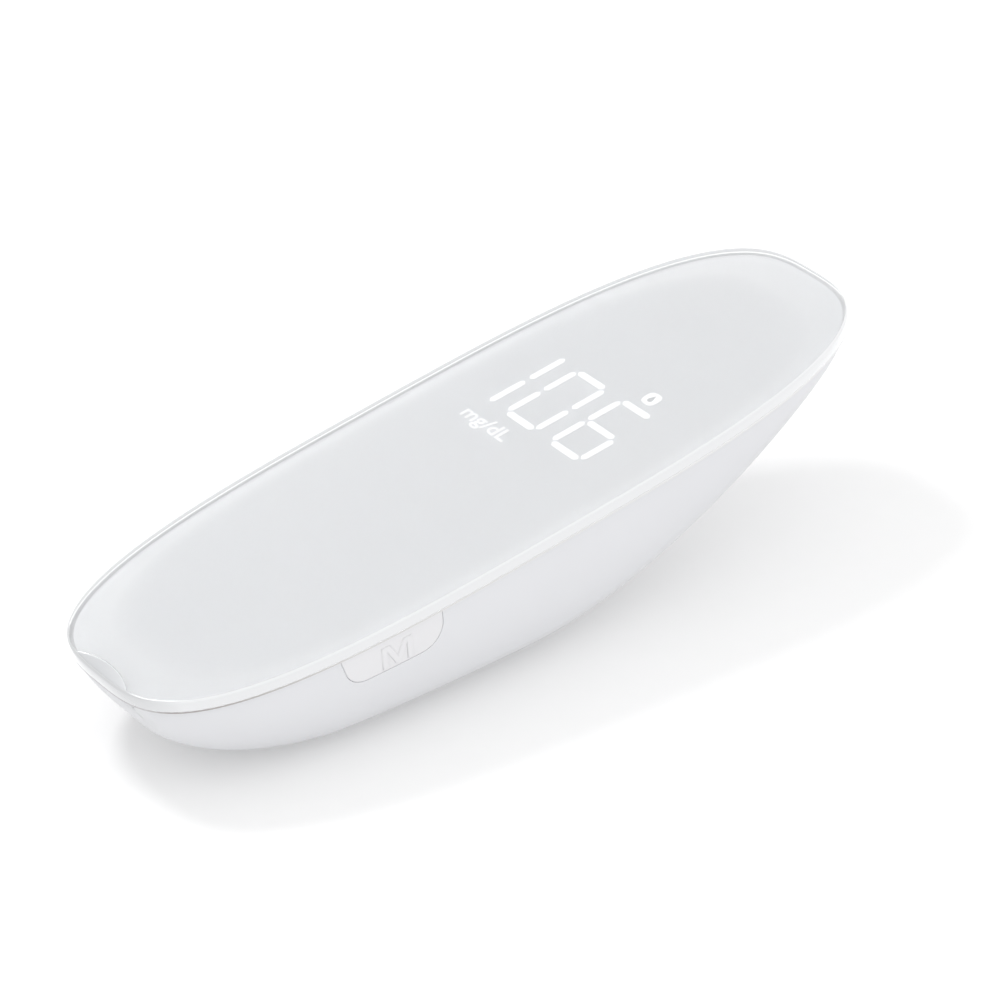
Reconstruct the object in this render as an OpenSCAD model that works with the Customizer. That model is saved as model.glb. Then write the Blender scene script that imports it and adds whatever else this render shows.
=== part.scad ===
// Blood glucose meter: a boat-shaped housing under a clear cover, with a strip port in
// the nose, a memory button in one side wall and a strip ejector in the other.
// Pieces are drawn in the meter's own frame: x runs from the nose to the display end,
// y is across, and z = 0 is the cover's top face. place() sets them down on the rest
// face, whose middle is the origin. Depths are counted downwards from the cover's top.

/* [Outline] */
// Length of the clear cover, from the nose to the display end
body_len = 95; // [91:0.5:102]
// Width of the clear cover
body_w = 34; // [33:0.5:38]
// Superellipse power of the outline at the nose
nose_power = 3.2; // [3:0.1:3.6]
// Superellipse power of the outline at the display end
tail_power = 3.05; // [2.9:0.05:3.4]
// How far the cover's edge stands out from the housing wall
cover_overhang = 0.35; // [0.2:0.05:0.6]

/* [Keel] */
// Angle of the straight belly run, at which the meter rests
rest_tilt = 7; // [5.5:0.5:8]
// Depth of the belly where the straight run ends
belly_depth = 17.9; // [17.2:0.1:20]
// Where the straight run starts, from the nose
run_start = 20; // [17:0.5:23]
// Length of the straight run
run_len = 23; // [20:0.5:27]
// Power with which the nose leaves the straight run
nose_sweep = 1.6; // [1.4:0.05:1.8]
// Power with which the nose curve steepens up to the cover
nose_blunt = 2.3; // [2:0.05:2.5]
// Power with which the tail leaves the straight run
tail_sweep = 1.85; // [1.75:0.05:2.1]
// Power with which the tail flattens out under the cover
tail_flare = 1.4; // [1.2:0.05:1.5]
// Height of the housing's lip at the display end
tail_lip = 0.3; // [0.2:0.05:0.6]
// Superellipse power of the housing's cross-section
section_power = 3.2; // [3:0.05:3.6]
// Depth of the flat on the belly
rest_cut = 0.3; // [0.2:0.05:0.5]

/* [Housing] */
// Wall of the lower housing
wall = 1.2; // [1:0.05:1.5]
// From the nose to the start of the cavity
cavity_nose = 3.7; // [3.4:0.1:4.2]
// From the end of the cavity to the display end
cavity_tail = 11; // [10:0.5:13]
// Where the flat nose face meets the cover, from the nose
face_x = 0.7; // [0.6:0.05:1.2]
// Backward lean of the nose face
face_lean = 13.5; // [11:0.5:15]
// Radius of the screw bosses
boss_r = 2.1; // [1.9:0.05:2.4]
// Thickness of the ribs that carry the cell
rib_t = 1.2; // [1:0.1:1.6]

/* [Cover and deck] */
// Thickness of the clear cover
cover_t = 1.3; // [1.2:0.05:1.4]
// Radius of the cover's top edge
cover_edge_r = 0.28; // [0.15:0.01:0.4]
// Thickness of the printed film under the cover
film_t = 0.1; // [0.05:0.01:0.2]
// Margin of the film inside the cover's edge
film_margin = 0.6; // [0.4:0.1:1.2]
// Thickness of the deck's edge, seen between the cover and the housing
deck_edge_t = 0.25; // [0.2:0.05:0.35]
// Margin of the deck's edge inside the cover's edge
deck_margin = 0.1; // [0.05:0.05:0.2]
// Depth of the deck's body below its edge
deck_body_t = 0.85; // [0.8:0.05:0.95]
// Start of the deck's body, from the nose
deck_body_nose = 6.4; // [6.3:0.1:7.5]
// End of the deck's body, from the display end
deck_body_tail = 15; // [14:0.5:18]
// Plan radius of the scoop in the cover at the nose
scoop_r = 10.4; // [9:0.2:12]
// How far the scoop reaches from the nose
scoop_reach = 1.75; // [1.5:0.05:2.1]
// Depth of the scoop at the cover's edge
scoop_depth = 0.55; // [0.3:0.05:0.7]
// Width of the lip left standing outside the scoop
scoop_lip = 0.3; // [0.3:0.05:0.5]

/* [Display] */
// From the digits' middle to the display end
digit_from_tail = 33.7; // [33.2:0.1:34.4]
// Sideways place of the middle digit
digit_y = 2.6; // [2:0.1:3]
// Distance from digit to digit
digit_pitch = 7.97; // [7.6:0.01:8.3]
// Distance between the two columns of a digit
digit_w = 5.05; // [4.8:0.05:5.3]
// Distance between the top and bottom bars of a digit
digit_h = 9.65; // [9:0.05:10]
// Width of a segment
segment_w = 0.78; // [0.6:0.02:0.9]
// Gap between the tips of two segments
segment_gap = 0.35; // [0.3:0.05:0.5]
// Margin of the display window above and below the digits
window_margin = 4; // [3.8:0.1:4.2]
// Thickness of the sheet that spreads the light
diffuser_t = 0.2; // [0.15:0.05:0.3]
// Height of the light guide
guide_h = 2.8; // [2.75:0.05:3.1]
// Length, width and height of an LED chip
led_size = [1, 0.5, 0.4];

/* [Board] */
// Thickness of the circuit board
pcb_t = 0.8; // [0.6:0.1:1]
// Start of the board, from the nose
pcb_nose = 9.5; // [9.5:0.1:11]
// End of the board, from the display end
pcb_tail = 18; // [17.5:0.5:20]
// Gap between the board's sides and the cavity's wall
pcb_gap = 3.25; // [3:0.05:3.35]
// From the nose to the front screws
front_screw_x = 15.5; // [15:0.1:16]
// From the display end to the rear screws
rear_screw_tail = 21; // [20.6:0.1:21.2]
// Gap between the front screws' bosses and the strip connector
front_boss_gap = 0.4; // [0.3:0.05:0.6]
// From the rear screws to the board's sides
rear_screw_edge = 4; // [3.8:0.1:4.4]
// Radius of the screws' shanks
screw_r = 0.8; // [0.7:0.05:0.9]
// Radius of the screw heads
screw_head_r = 1.45; // [1.35:0.05:1.6]
// Height of the screw heads
screw_head_h = 0.7; // [0.6:0.05:0.8]
// How far the screws reach into the housing's bosses
screw_bite = 2.4; // [2:0.1:2.8]
// Length, width and height of the processor
processor_size = [7, 7, 1];
// Length, width and height of the amplifier and charger chips
amplifier_size = [3, 3, 0.9];
charger_size = [5, 4, 1.2];
// Length, width and height of the radio module's shield can
wireless_size = [10, 8, 1.7];

/* [Strip port] */
// Width of a test strip's slot
slot_w = 6.4; // [6:0.1:6.8]
// Height of the slot
slot_h = 0.7; // [0.6:0.05:0.8]
// Depth of the slot's middle
slot_depth = 3.4; // [3.35:0.01:3.45]
// Width and height of the port bezel
bezel_size = [9.8, 2.4];
// How far the bezel stands back from the nose face
bezel_inset = 0.05; // [0.05:0.05:0.3]
// Length of the strip connector
connector_len = 10.7; // [10.6:0.1:11.2]
// Width of the strip connector
connector_w = 10; // [9.6:0.1:10.4]
// How far a test strip goes into the connector
strip_seat = 8.4; // [8:0.1:9]
// Number of contact fingers
contact_count = 5; // [3:1:5]
// Distance from finger to finger
contact_pitch = 0.9; // [0.85:0.01:0.95]
// Width of a contact finger
contact_w = 0.5; // [0.4:0.05:0.6]
// Thickness of a contact finger
contact_t = 0.15; // [0.1:0.01:0.2]

/* [Memory button] */
// Nose side of the memory button
button_x = 19.5; // [19.3:0.1:20.5]
// Length of the memory button along the wall
button_len = 12.4; // [11.5:0.1:12.8]
// Height of the memory button
button_h = 3.5; // [3.3:0.1:3.7]
// Travel of the memory button
button_travel = 0.45; // [0.3:0.05:0.5]
// Thickness of the button's face
button_t = 1; // [0.9:0.05:1.1]
// Gap round the button
button_gap = 0.15; // [0.1:0.01:0.2]
// How far the button's collar reaches behind the wall
collar_w = 0.7; // [0.5:0.05:0.9]
// Width, depth and height of the switch body
switch_size = [4.5, 3, 1.7];
// Radius of the switch's plunger
plunger_r = 0.7; // [0.6:0.05:0.75]
// How far the plunger stands out of the switch
plunger_out = 0.7; // [0.65:0.05:0.8]
// How far the plunger reaches into the switch
plunger_in = 1; // [0.8:0.1:1.2]
// Length of the stem on the back of the button
stem_len = 0.24; // [0.2:0.02:0.6]

/* [Strip ejector] */
// From the nose to the middle of the slide knob
ejector_x = 40.5; // [40:0.1:42]
// Travel of the slide knob
ejector_travel = 5; // [4:0.1:5]
// Length and height of the slide knob
knob_size = [8.6, 2.8];
// How far the slide knob stands out from the wall
knob_proud = 0.4; // [0.2:0.05:0.6]
// Depth of the track that the knob slides in
track_depth = 0.5; // [0.4:0.05:0.6]
// Running gap round the ejector's pieces
slide_gap = 0.2; // [0.15:0.01:0.25]
// Length of the neck that passes through the wall
neck_len = 4; // [3.5:0.1:4.5]
// Thickness of the ejector arm
arm_t = 0.8; // [0.7:0.05:0.9]
// Width of the ejector arm
arm_w = 2.5; // [2.2:0.1:2.8]
// Width of each prong of the arm's fork
prong_w = 0.65; // [0.55:0.05:0.75]
// Radius of the return spring's coil
coil_r = 0.6; // [0.55:0.01:0.62]
// Radius of the spring's wire
wire_r = 0.12; // [0.1:0.01:0.13]
// Number of turns in the spring
coil_turns = 8; // [6:1:9]

/* [Power] */
// Length, width and thickness of the cell
cell_size = [30, 20, 4];
// From the nose to the cell
cell_x = 30; // [29.5:0.5:31]
// Depth of the cell's top face
cell_top = 8.6; // [8.4:0.1:8.8]
// Thickness of the foam pad under the cell
pad_t = 0.5; // [0.4:0.05:0.6]
// Radius of the leads
lead_r = 0.35; // [0.3:0.01:0.4]
// Distance between the leads
lead_pitch = 1.8; // [1.5:0.1:2.2]
// From the display end to the middle of the charging socket
usb_tail = 29; // [28:0.5:31]
// Width, depth and height of the charging socket
usb_size = [7.6, 5.3, 2.6];
// Thickness of the socket's shell
usb_shell_t = 0.3; // [0.25:0.05:0.4]
// How far the socket's mouth lies inside the wall's outer face
usb_recess = 1.1; // [0.9:0.1:1.3]

/* [Hidden] */

$fn = 32;
rim_steps = 120;
hull_steps = 54;
section_steps = 26;
snug = 0.1;
bore_gap = 0.03;
eps = 0.01;

white = "#e9ebed";
cool_white = "#e3e5e8";
clear = [0.93, 0.95, 0.97, 0.45];
board_green = "#2f6b4a";
black = "#2b2d30";
steel = "#b9bcc0";
gold = "#d3ab52";

// Depths of the stack, from the cover's top face down
film_top = cover_t;
deck_top = film_top + film_t;
seam = deck_top + deck_edge_t;
deck_floor = seam + deck_body_t;
pcb_top = deck_top + diffuser_t + guide_h;
pcb_floor = pcb_top + pcb_t;

// Housing: outer ends and half-width, and those of its cavity
hull_x0 = cover_overhang;
hull_x1 = body_len - cover_overhang;
hull_hw = body_w / 2 - cover_overhang;
cav_x0 = cavity_nose;
cav_x1 = body_len - cavity_tail;
cav_hw = hull_hw - wall;
run_end = run_start + run_len;
pcb_half_w = cav_hw - pcb_gap;

// ---- Outline and keel ----

function spow(v, e) = sign(v) * pow(abs(v), e);

// Point at angle f of a superellipse from x0 to x1: 0 is its nose and 180 its tail
function rim_point(f, x0, x1, hw) =
    let (mid = (x0 + x1) / 2, n = cos(f) > 0 ? nose_power : tail_power)
    [mid - (x1 - x0) / 2 * spow(cos(f), 2 / n), hw * spow(sin(f), 2 / n)];

function rim(x0, x1, hw) =
    [for (i = [0 : rim_steps - 1]) rim_point(360 * i / rim_steps, x0, x1, hw)];

function cover_rim(inset) = rim(inset, body_len - inset, body_w / 2 - inset);

// Half-width of the same superellipse at x
function half_width(x, x0, x1, hw) =
    let (mid = (x0 + x1) / 2, n = x < mid ? nose_power : tail_power,
        u = min(1, 2 * abs(x - mid) / (x1 - x0)))
    hw * pow(1 - pow(u, n), 1 / n);

function hull_y(x) = half_width(x, hull_x0, hull_x1, hull_hw);
function cavity_y(x) = half_width(x, cav_x0, cav_x1, cav_hw);

// Depth of the straight belly run, continued past its ends
function run_depth(x) = belly_depth + (x - run_end) * tan(rest_tilt);

// Depth of the keel: a blunt curve up to the nose, the straight run, and a tail that
// sweeps up and flattens out under the cover
function keel(x) =
    x < run_start ?
        let (u = min(1, (run_start - x) / (run_start - hull_x0)))
        run_depth(x) - (run_depth(hull_x0) - seam)
            * (1 - pow(1 - pow(u, nose_sweep), 1 / nose_blunt))
    : x > run_end ?
        let (v = min(1, (x - run_end) / (hull_x1 - run_end)))
        run_depth(x) - (run_depth(hull_x1) - seam - tail_lip)
            * (1 - pow(1 - pow(v, tail_sweep), tail_flare))
    : run_depth(x);

// The cavity's keel stays a wall inside the outer one, and closes at both ends
function cavity_keel(x, f) =
    let (d = min(keel(x - wall), keel(x) - wall, keel(x + wall)))
    seam + max(0.4, d - seam) * pow(sin(f), 0.4);

// One point of a cross-section: angle a runs from the near rim under the keel to the far rim
function section_point(x, hw, depth, a) =
    [x, -hw * spow(cos(a), 2 / section_power),
        -seam - (depth - seam) * pow(abs(sin(a)), 2 / section_power)];

// Depth of the housing's outer face at x, y
function hull_depth(x, y) =
    seam + (keel(x) - seam)
        * pow(1 - pow(min(1, abs(y) / hull_y(x)), section_power), 1 / section_power);

// ---- Shared shapes ----

// Sets the meter down on its rest face
rest_mid = (run_start + run_end) / 2;
module place() {
    translate([-rest_mid * cos(rest_tilt) - run_depth(rest_mid) * sin(rest_tilt), 0,
        belly_depth * cos(rest_tilt) - run_end * sin(rest_tilt) - rest_cut])
        rotate([0, -rest_tilt, 0]) children();
}

// Prism of an outline between two depths
module slab(top, bottom) {
    translate([0, 0, -bottom]) linear_extrude(bottom - top) children();
}

// Box between two corners, given as [x, y, depth]
module block(a, b) {
    translate([a[0], a[1], -b[2]]) cube([b[0] - a[0], b[1] - a[1], b[2] - a[2]]);
}

// Prism of an outline drawn in x and depth, between two values of y
module wall_prism(y0, y1) {
    translate([0, y1, 0]) rotate([90, 0, 0]) linear_extrude(y1 - y0)
        mirror([0, 1]) children();
}

module rounded_rect(size, r) {
    w = size[0] / 2 - r;
    h = size[1] / 2 - r;
    for (x = [-w, w], y = [-h, h]) translate([x, y]) circle(r);
    square([2 * w, size[1]], center = true);
    square([size[0], 2 * h], center = true);
}

// Arc of radius r that rounds the corner b between a and c
function rounded_corner(a, b, c, r, steps = 6) =
    let (u = (a - b) / norm(a - b), v = (c - b) / norm(c - b),
        half = acos(u * v) / 2, mid = b + (u + v) / norm(u + v) * r / sin(half),
        p = b + u * r / tan(half) - mid, q = b + v * r / tan(half) - mid,
        p_angle = atan2(p[1], p[0]),
        turn = (atan2(q[1], q[0]) - p_angle + 540) % 360 - 180)
    [for (i = [0 : steps]) mid + r * [cos(p_angle + turn * i / steps),
        sin(p_angle + turn * i / steps)]];

// Plate with rings of the cover's outline, given as [depth, inset] from the bottom up
module plate(rings) {
    n = rim_steps;
    points = [for (r = rings) each [for (p = cover_rim(r[1])) [p[0], p[1], -r[0]]]];
    last = (len(rings) - 1) * n;
    sides = [for (k = [0 : len(rings) - 2], i = [0 : n - 1])
        let (j = (i + 1) % n) [k * n + i, k * n + j, (k + 1) * n + j, (k + 1) * n + i]];
    strips = [for (i = [1 : n / 2 - 2]) [i, i + 1, n - i - 1, n - i]];
    ends = [[0, 1, n - 1], [n / 2 - 1, n / 2, n / 2 + 1]];
    caps = concat(strips, ends);
    polyhedron(points, concat(sides, [for (f = caps) [for (i = f) i + last]],
        [for (f = caps) [for (i = [len(f) - 1 : -1 : 0]) f[i]]]));
}

// ---- Cover and display ----

edge_rings = [for (a = [0 : 30 : 90])
    [cover_edge_r * (1 - sin(a)), cover_edge_r * (1 - cos(a))]];

// Sphere whose circle at the cover's top has the scoop's radius, and which is
// scoop_depth deep at the lip
scoop_lip_r = scoop_r - scoop_reach + scoop_lip;
scoop_rise = (scoop_r * scoop_r - scoop_lip_r * scoop_lip_r - scoop_depth * scoop_depth)
    / (2 * scoop_depth);

module top_lens() {
    color(clear) difference() {
        plate(concat([[cover_t, 0]], edge_rings));
        intersection() {
            translate([scoop_reach - scoop_r, 0, scoop_rise])
                sphere(norm([scoop_r, scoop_rise]), $fn = 96);
            translate([0, 0, -cover_t]) linear_extrude(2 * cover_t)
                polygon(cover_rim(scoop_lip));
            translate([0, -body_w / 2, -cover_t]) cube([scoop_r, body_w, 2 * cover_t]);
        }
    }
}

module backing_film() {
    color(cool_white) slab(film_top, deck_top) polygon(cover_rim(film_margin));
}

// Display: digits read across the meter, with their tops towards the display end
digit_x = body_len - digit_from_tail;
digits_y = [for (k = [1, 0, -1]) digit_y + k * digit_pitch];
column = digit_w / 2;
bar = digit_h / 2;
window_x = [digit_x - bar - window_margin, digit_x + bar + window_margin + 1];
window_y = [-pcb_half_w, pcb_half_w];
badge = [digit_x + bar + 2.3, digits_y[2] + 0.25];
unit_bar = [digit_x - bar - 2.8, digit_y + 2.4, 8];

// Segments as [x, y, length, angle]; the first digit has its two right-hand segments only
function digit_segments(y) = [
    for (x = [-bar, 0, bar]) [digit_x + x, y, digit_w - segment_gap, 90],
    for (x = [-bar / 2, bar / 2], s = [-column, column])
        [digit_x + x, y + s, bar - segment_gap, 0]];
segments = concat(
    [for (x = [-bar / 2, bar / 2]) [digit_x + x, digits_y[0] - column, bar - segment_gap, 0]],
    digit_segments(digits_y[1]), digit_segments(digits_y[2]));

module segment_shape(length) {
    h = segment_w / 2;
    e = length / 2;
    polygon([[-e, 0], [h - e, h], [e - h, h], [e, 0], [e - h, -h], [h - e, -h]]);
}

module window(gap) {
    translate([window_x[0] + gap, window_y[0] + gap])
        square([window_x[1] - window_x[0] - 2 * gap, window_y[1] - window_y[0] - 2 * gap]);
}

module display_diffuser() {
    color(white) slab(deck_top, deck_top + diffuser_t) window(snug);
}

module segment_guide() {
    color(white) slab(deck_top + diffuser_t, pcb_top) difference() {
        window(snug);
        for (s = segments) translate([s[0], s[1]]) rotate(s[3]) segment_shape(s[2]);
        translate(badge) circle(1);
        translate([unit_bar[0], unit_bar[1]]) square([1, unit_bar[2]], center = true);
    }
}

module led_chip(x, y, angle) {
    translate([x, y, led_size[2] / 2 - pcb_top]) rotate(angle) cube(led_size, center = true);
}

module segment_leds() {
    color(white) {
        for (s = segments) led_chip(s[0], s[1], s[3]);
        led_chip(badge[0], badge[1], 0);
        for (k = [-1, 1]) led_chip(unit_bar[0], unit_bar[1] + k * unit_bar[2] / 4, 90);
    }
}

// ---- Deck and housing ----

screws = [for (s = [-1, 1]) each [
    [front_screw_x, s * (connector_w / 2 + front_boss_gap + boss_r)],
    [body_len - rear_screw_tail, s * (pcb_half_w - rear_screw_edge)]]];
head_floor = deck_top + screw_head_h + 0.2;

// The ejector's arm runs between two rails under the deck, and its spring lies between
// a post on the deck and a lug on the arm
slide_depth = pcb_top - 0.3 - arm_t / 2;
fork_x = 23.5;
fork_half_w = arm_w + 0.6;
rail_x = [18.8, 30];
rail_t = 0.8;
rail_y = fork_half_w + 0.25;
spring_y = 6.5;
spring_depth = (deck_floor + pcb_top) / 2;
post_x = 25.9;
post_t = 1.5;
post_w = 1.8;
pin_r = coil_r - wire_r - 0.1;
pin_len = 2;

module top_deck() {
    color(white) difference() {
        union() {
            slab(deck_top, seam) polygon(cover_rim(deck_margin));
            slab(seam, deck_floor) polygon(rim(deck_body_nose, body_len - deck_body_tail,
                cav_hw - slide_gap));
            for (s = screws) translate([s[0], s[1], -pcb_top])
                cylinder(h = pcb_top - deck_floor + eps, r = boss_r);
            for (y = [-rail_y - rail_t, rail_y])
                block([rail_x[0], y, deck_floor - eps], [rail_x[1], y + rail_t, pcb_top - snug]);
            block([post_x - post_t, spring_y - post_w / 2, deck_floor - eps],
                [post_x, spring_y + post_w / 2, pcb_top - snug]);
            translate([post_x - eps, spring_y, -spring_depth]) rotate([0, 90, 0])
                cylinder(h = pin_len, r = pin_r);
        }
        slab(deck_top - 1, deck_floor + 1) window(0);
        for (s = screws) translate([s[0], s[1], 0]) {
            translate([0, 0, -head_floor]) cylinder(h = head_floor, r = screw_head_r + snug);
            translate([0, 0, -pcb_top - 1]) cylinder(h = pcb_top, r = screw_r + snug);
        }
        // Room for the memory button's collar
        block([button_x - collar_w - 0.6, -body_w, seam],
            [button_x + button_len + collar_w + 0.6, button_travel + 0.3 - collar_back,
            deck_floor + 1]);
    }
}

// Everything in front of the flat nose face
module nose_cutter(inset) {
    translate([face_x + inset, 0, 0]) rotate([0, -face_lean, 0])
        translate([-body_w, -body_w, -belly_depth])
        cube([body_w, 2 * body_w, 2 * belly_depth]);
}

// Open cup of the housing: outer skin, cavity skin, and the flat rim between them
module cup() {
    n = hull_steps;
    m = section_steps;
    angles = [for (i = [1 : n - 1]) 180 * i / n];
    outer = [for (f = angles) let (r = rim_point(f, hull_x0, hull_x1, hull_hw))
        each [for (j = [0 : m]) section_point(r[0], r[1], keel(r[0]), 180 * j / m)]];
    inner = [for (f = angles) let (r = rim_point(f, cav_x0, cav_x1, cav_hw))
        each [for (j = [0 : m]) section_point(r[0], r[1], cavity_keel(r[0], f), 180 * j / m)]];
    tips = [for (x = [hull_x0, hull_x1, cav_x0, cav_x1]) [x, 0, -seam]];
    in = len(outer);
    tip = 2 * in;
    last = (n - 2) * (m + 1);
    function at(i, j) = i * (m + 1) + j;
    skins = [for (i = [0 : n - 3], j = [0 : m - 1]) each [
        [at(i, j), at(i + 1, j), at(i + 1, j + 1), at(i, j + 1)],
        [in + at(i, j), in + at(i, j + 1), in + at(i + 1, j + 1), in + at(i + 1, j)]]];
    ends = [for (j = [0 : m - 1]) each [
        [tip, j, j + 1], [last + j, tip + 1, last + j + 1],
        [tip + 2, in + j + 1, in + j], [in + last + j, in + last + j + 1, tip + 3]]];
    rims = [for (i = [0 : n - 3]) each [
        [at(i, 0), in + at(i, 0), in + at(i + 1, 0), at(i + 1, 0)],
        [at(i, m), at(i + 1, m), in + at(i + 1, m), in + at(i, m)]]];
    rim_ends = [[tip, tip + 2, in, 0], [tip, m, in + m, tip + 2],
        [last, in + last, tip + 3, tip + 1], [last + m, tip + 1, tip + 3, in + last + m]];
    polyhedron(concat(outer, inner, tips), concat(skins, ends, rims, rim_ends));
}

// Screw boss: it stands in the housing's wall and carries the board
module boss(x, y) {
    foot = min([for (dx = [-boss_r, boss_r]) hull_depth(x + dx, abs(y) + boss_r)]) - wall / 3;
    translate([x, y, -foot]) cylinder(h = foot - pcb_floor, r = boss_r);
}

cell_floor = cell_top + cell_size[2];
pad_floor = cell_floor + pad_t;
rib_x = [for (u = [0.12, 0.5, 0.88]) cell_x + u * cell_size[0]];
rib_half = 7;
usb_x = body_len - usb_tail;
usb_depth = pcb_floor + usb_size[2] / 2;

module lower_housing() {
    color(white) difference() {
        union() {
            cup();
            for (s = screws) boss(s[0], s[1]);
            for (x = rib_x) block([x - rib_t / 2, -rib_half, pad_floor],
                [x + rib_t / 2, rib_half, hull_depth(x + rib_t / 2, rib_half) - wall / 3]);
        }
        nose_cutter(0);
        // Flat on the belly
        rotate([0, rest_tilt, 0])
            translate([-body_len, -body_w, run_end * sin(rest_tilt)
                - belly_depth * cos(rest_tilt) + rest_cut - belly_depth])
            cube([3 * body_len, 2 * body_w, belly_depth]);
        for (s = screws) translate([s[0], s[1], -pcb_floor - screw_bite - 0.3])
            cylinder(h = screw_bite + 1, r = screw_r + bore_gap);
        // Strip port window
        block([-1, -bezel_size[0] / 2 - snug, slot_depth - bezel_size[1] / 2 - snug],
            [bezel_back, bezel_size[0] / 2 + snug, slot_depth + bezel_size[1] / 2 + snug]);
        // Memory button opening, which runs out at the rim
        wall_prism(-body_w, -hull_hw + 2 * wall + 1) polygon(button_profile(button_gap));
        // Ejector's track and the slot through it
        wall_prism(hull_hw - track_depth, body_w)
            translate([ejector_x - ejector_travel / 2, slide_depth])
            rounded_rect(knob_size + [ejector_travel + 2 * slide_gap, 2 * slide_gap],
                knob_r + slide_gap);
        block([neck_x0 - ejector_travel - slide_gap, cav_hw - 2,
            slide_depth - arm_t / 2 - slide_gap],
            [neck_x0 + neck_len + slide_gap, body_w, slide_depth + arm_t / 2 + slide_gap]);
        // Charging socket opening
        wall_prism(hull_hw - 4, body_w) translate([usb_x, usb_depth])
            rounded_rect([usb_size[0] + 0.8, usb_size[2] + 0.8], 0.8);
    }
}

module housing_screws() {
    color(steel) for (s = screws) translate([s[0], s[1], 0]) difference() {
        union() {
            translate([0, 0, -head_floor]) cylinder(h = screw_head_h, r = screw_head_r);
            translate([0, 0, -pcb_floor - screw_bite])
                cylinder(h = pcb_floor + screw_bite - head_floor + eps, r = screw_r);
        }
        translate([0, 0, screw_head_h / 2 - head_floor]) for (a = [0, 90]) rotate(a)
            translate([-0.8, -0.15, 0]) cube([1.6, 0.3, screw_head_h]);
    }
}

// ---- Strip port ----

connector_x = 6;
connector_h = 1.8;
bezel_back = connector_x - 0.05;
connector_top = pcb_top - connector_h;
slot_top = slot_depth - slot_h / 2;
slot_floor = slot_depth + slot_h / 2;

module port_bezel() {
    mouth_h = 1.5;
    mouth_len = 2.4;
    mouth_side = 0.2;
    color(cool_white) difference() {
        block([face_x, -bezel_size[0] / 2, slot_depth - bezel_size[1] / 2],
            [bezel_back, bezel_size[0] / 2, slot_depth + bezel_size[1] / 2]);
        nose_cutter(bezel_inset);
        block([0, -slot_w / 2, slot_top], [connector_x + 1, slot_w / 2, slot_floor]);
        // Tapered mouth that leads the strip in
        wall_prism(-slot_w / 2 - mouth_side, slot_w / 2 + mouth_side) polygon([
            [face_x, slot_depth - mouth_h / 2], [face_x + mouth_len, slot_top],
            [face_x + mouth_len, slot_floor], [face_x, slot_depth + mouth_h / 2]]);
    }
}

// Finger places across the connector
contact_y = [for (k = [0 : contact_count - 1])
    (k - (contact_count - 1) / 2) * contact_pitch];
connector_back = connector_x + connector_len;

module strip_connector() {
    color(black) difference() {
        block([connector_x, -connector_w / 2, connector_top],
            [connector_back, connector_w / 2, pcb_top]);
        block([connector_x - 1, -slot_w / 2, slot_top],
            [connector_back + 1, slot_w / 2, slot_floor]);
        // Grooves in the roof, in which the fingers lie
        for (y = contact_y) block([connector_x + 2.2, y - contact_w / 2 - 0.05,
            connector_top - 1], [connector_back + 1, y + contact_w / 2 + 0.05, slot_depth]);
    }
}

// Outline of a bent strip of thickness t along a path
function bent_strip(path, t) =
    let (n = len(path), d = [for (i = [0 : n - 2])
            (path[i + 1] - path[i]) / norm(path[i + 1] - path[i])],
        side = [for (i = [0 : n - 1])
            let (a = d[max(0, i - 1)], b = d[min(n - 2, i)],
                m = [-(a[1] + b[1]), a[0] + b[0]])
            m / norm(m) * t / 2 / max(0.6, cos(acos(min(1, a * b)) / 2))])
    concat([for (i = [0 : n - 1]) path[i] + side[i]],
        [for (i = [n - 1 : -1 : 0]) path[i] - side[i]]);

module strip_contacts() {
    foot = pcb_top - contact_t / 2;
    leg = connector_top + contact_t;
    finger = [[connector_back + 1.5, foot], [connector_back + 0.4, foot],
        [connector_back + 0.4, leg], [connector_back - 3.5, leg],
        [connector_x + 4.6, slot_depth], [connector_x + 3.2, leg + 0.1]];
    color(gold) for (y = contact_y)
        wall_prism(y - contact_w / 2, y + contact_w / 2) polygon(bent_strip(finger, contact_t));
}

// ---- Board ----

pcb_x1 = body_len - pcb_tail;
pcb_mid = (pcb_nose + pcb_x1) / 2;
pcb_power = 5;

module main_pcb() {
    color(board_green) slab(pcb_top, pcb_floor) difference() {
        polygon([for (i = [0 : 71]) let (f = 5 * i)
            [pcb_mid - (pcb_x1 - pcb_nose) / 2 * spow(cos(f), 2 / pcb_power),
            pcb_half_w * spow(sin(f), 2 / pcb_power)]]);
        for (s = screws) translate(s) circle(screw_r + snug);
    }
}

// Flat chip under the board
module chip(x, y, size) {
    block([x - size[0] / 2, y - size[1] / 2, pcb_floor],
        [x + size[0] / 2, y + size[1] / 2, pcb_floor + size[2]]);
}

chip_gap = 2;
processor_x = cell_x + processor_size[0];
wireless_x = body_len - rear_screw_tail - wireless_size[0];

module processor_chip() {
    color(black) chip(processor_x, pcb_half_w / 2 - 0.6, processor_size);
}

module board_chips() {
    y = pcb_half_w / 2;
    color(black) {
        chip(processor_x - wireless_size[0], -y, amplifier_size);
        chip(processor_x + processor_size[0] / 2 + amplifier_size[0] / 2 + chip_gap * 1.5, y,
            amplifier_size);
        for (x = [processor_x - chip_gap, processor_x + 5 * chip_gap])
            chip(x, -y, charger_size);
    }
}

module wireless_module() {
    color(steel) chip(wireless_x, -pcb_half_w / 2 + 1.6, wireless_size);
}

// ---- Memory button ----

button_top = seam + button_gap;
button_mid = button_x + button_len / 2;
collar_front = cavity_y(button_x) - 0.35;
collar_back = collar_front - 0.7;
stem_r = 0.9;

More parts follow.
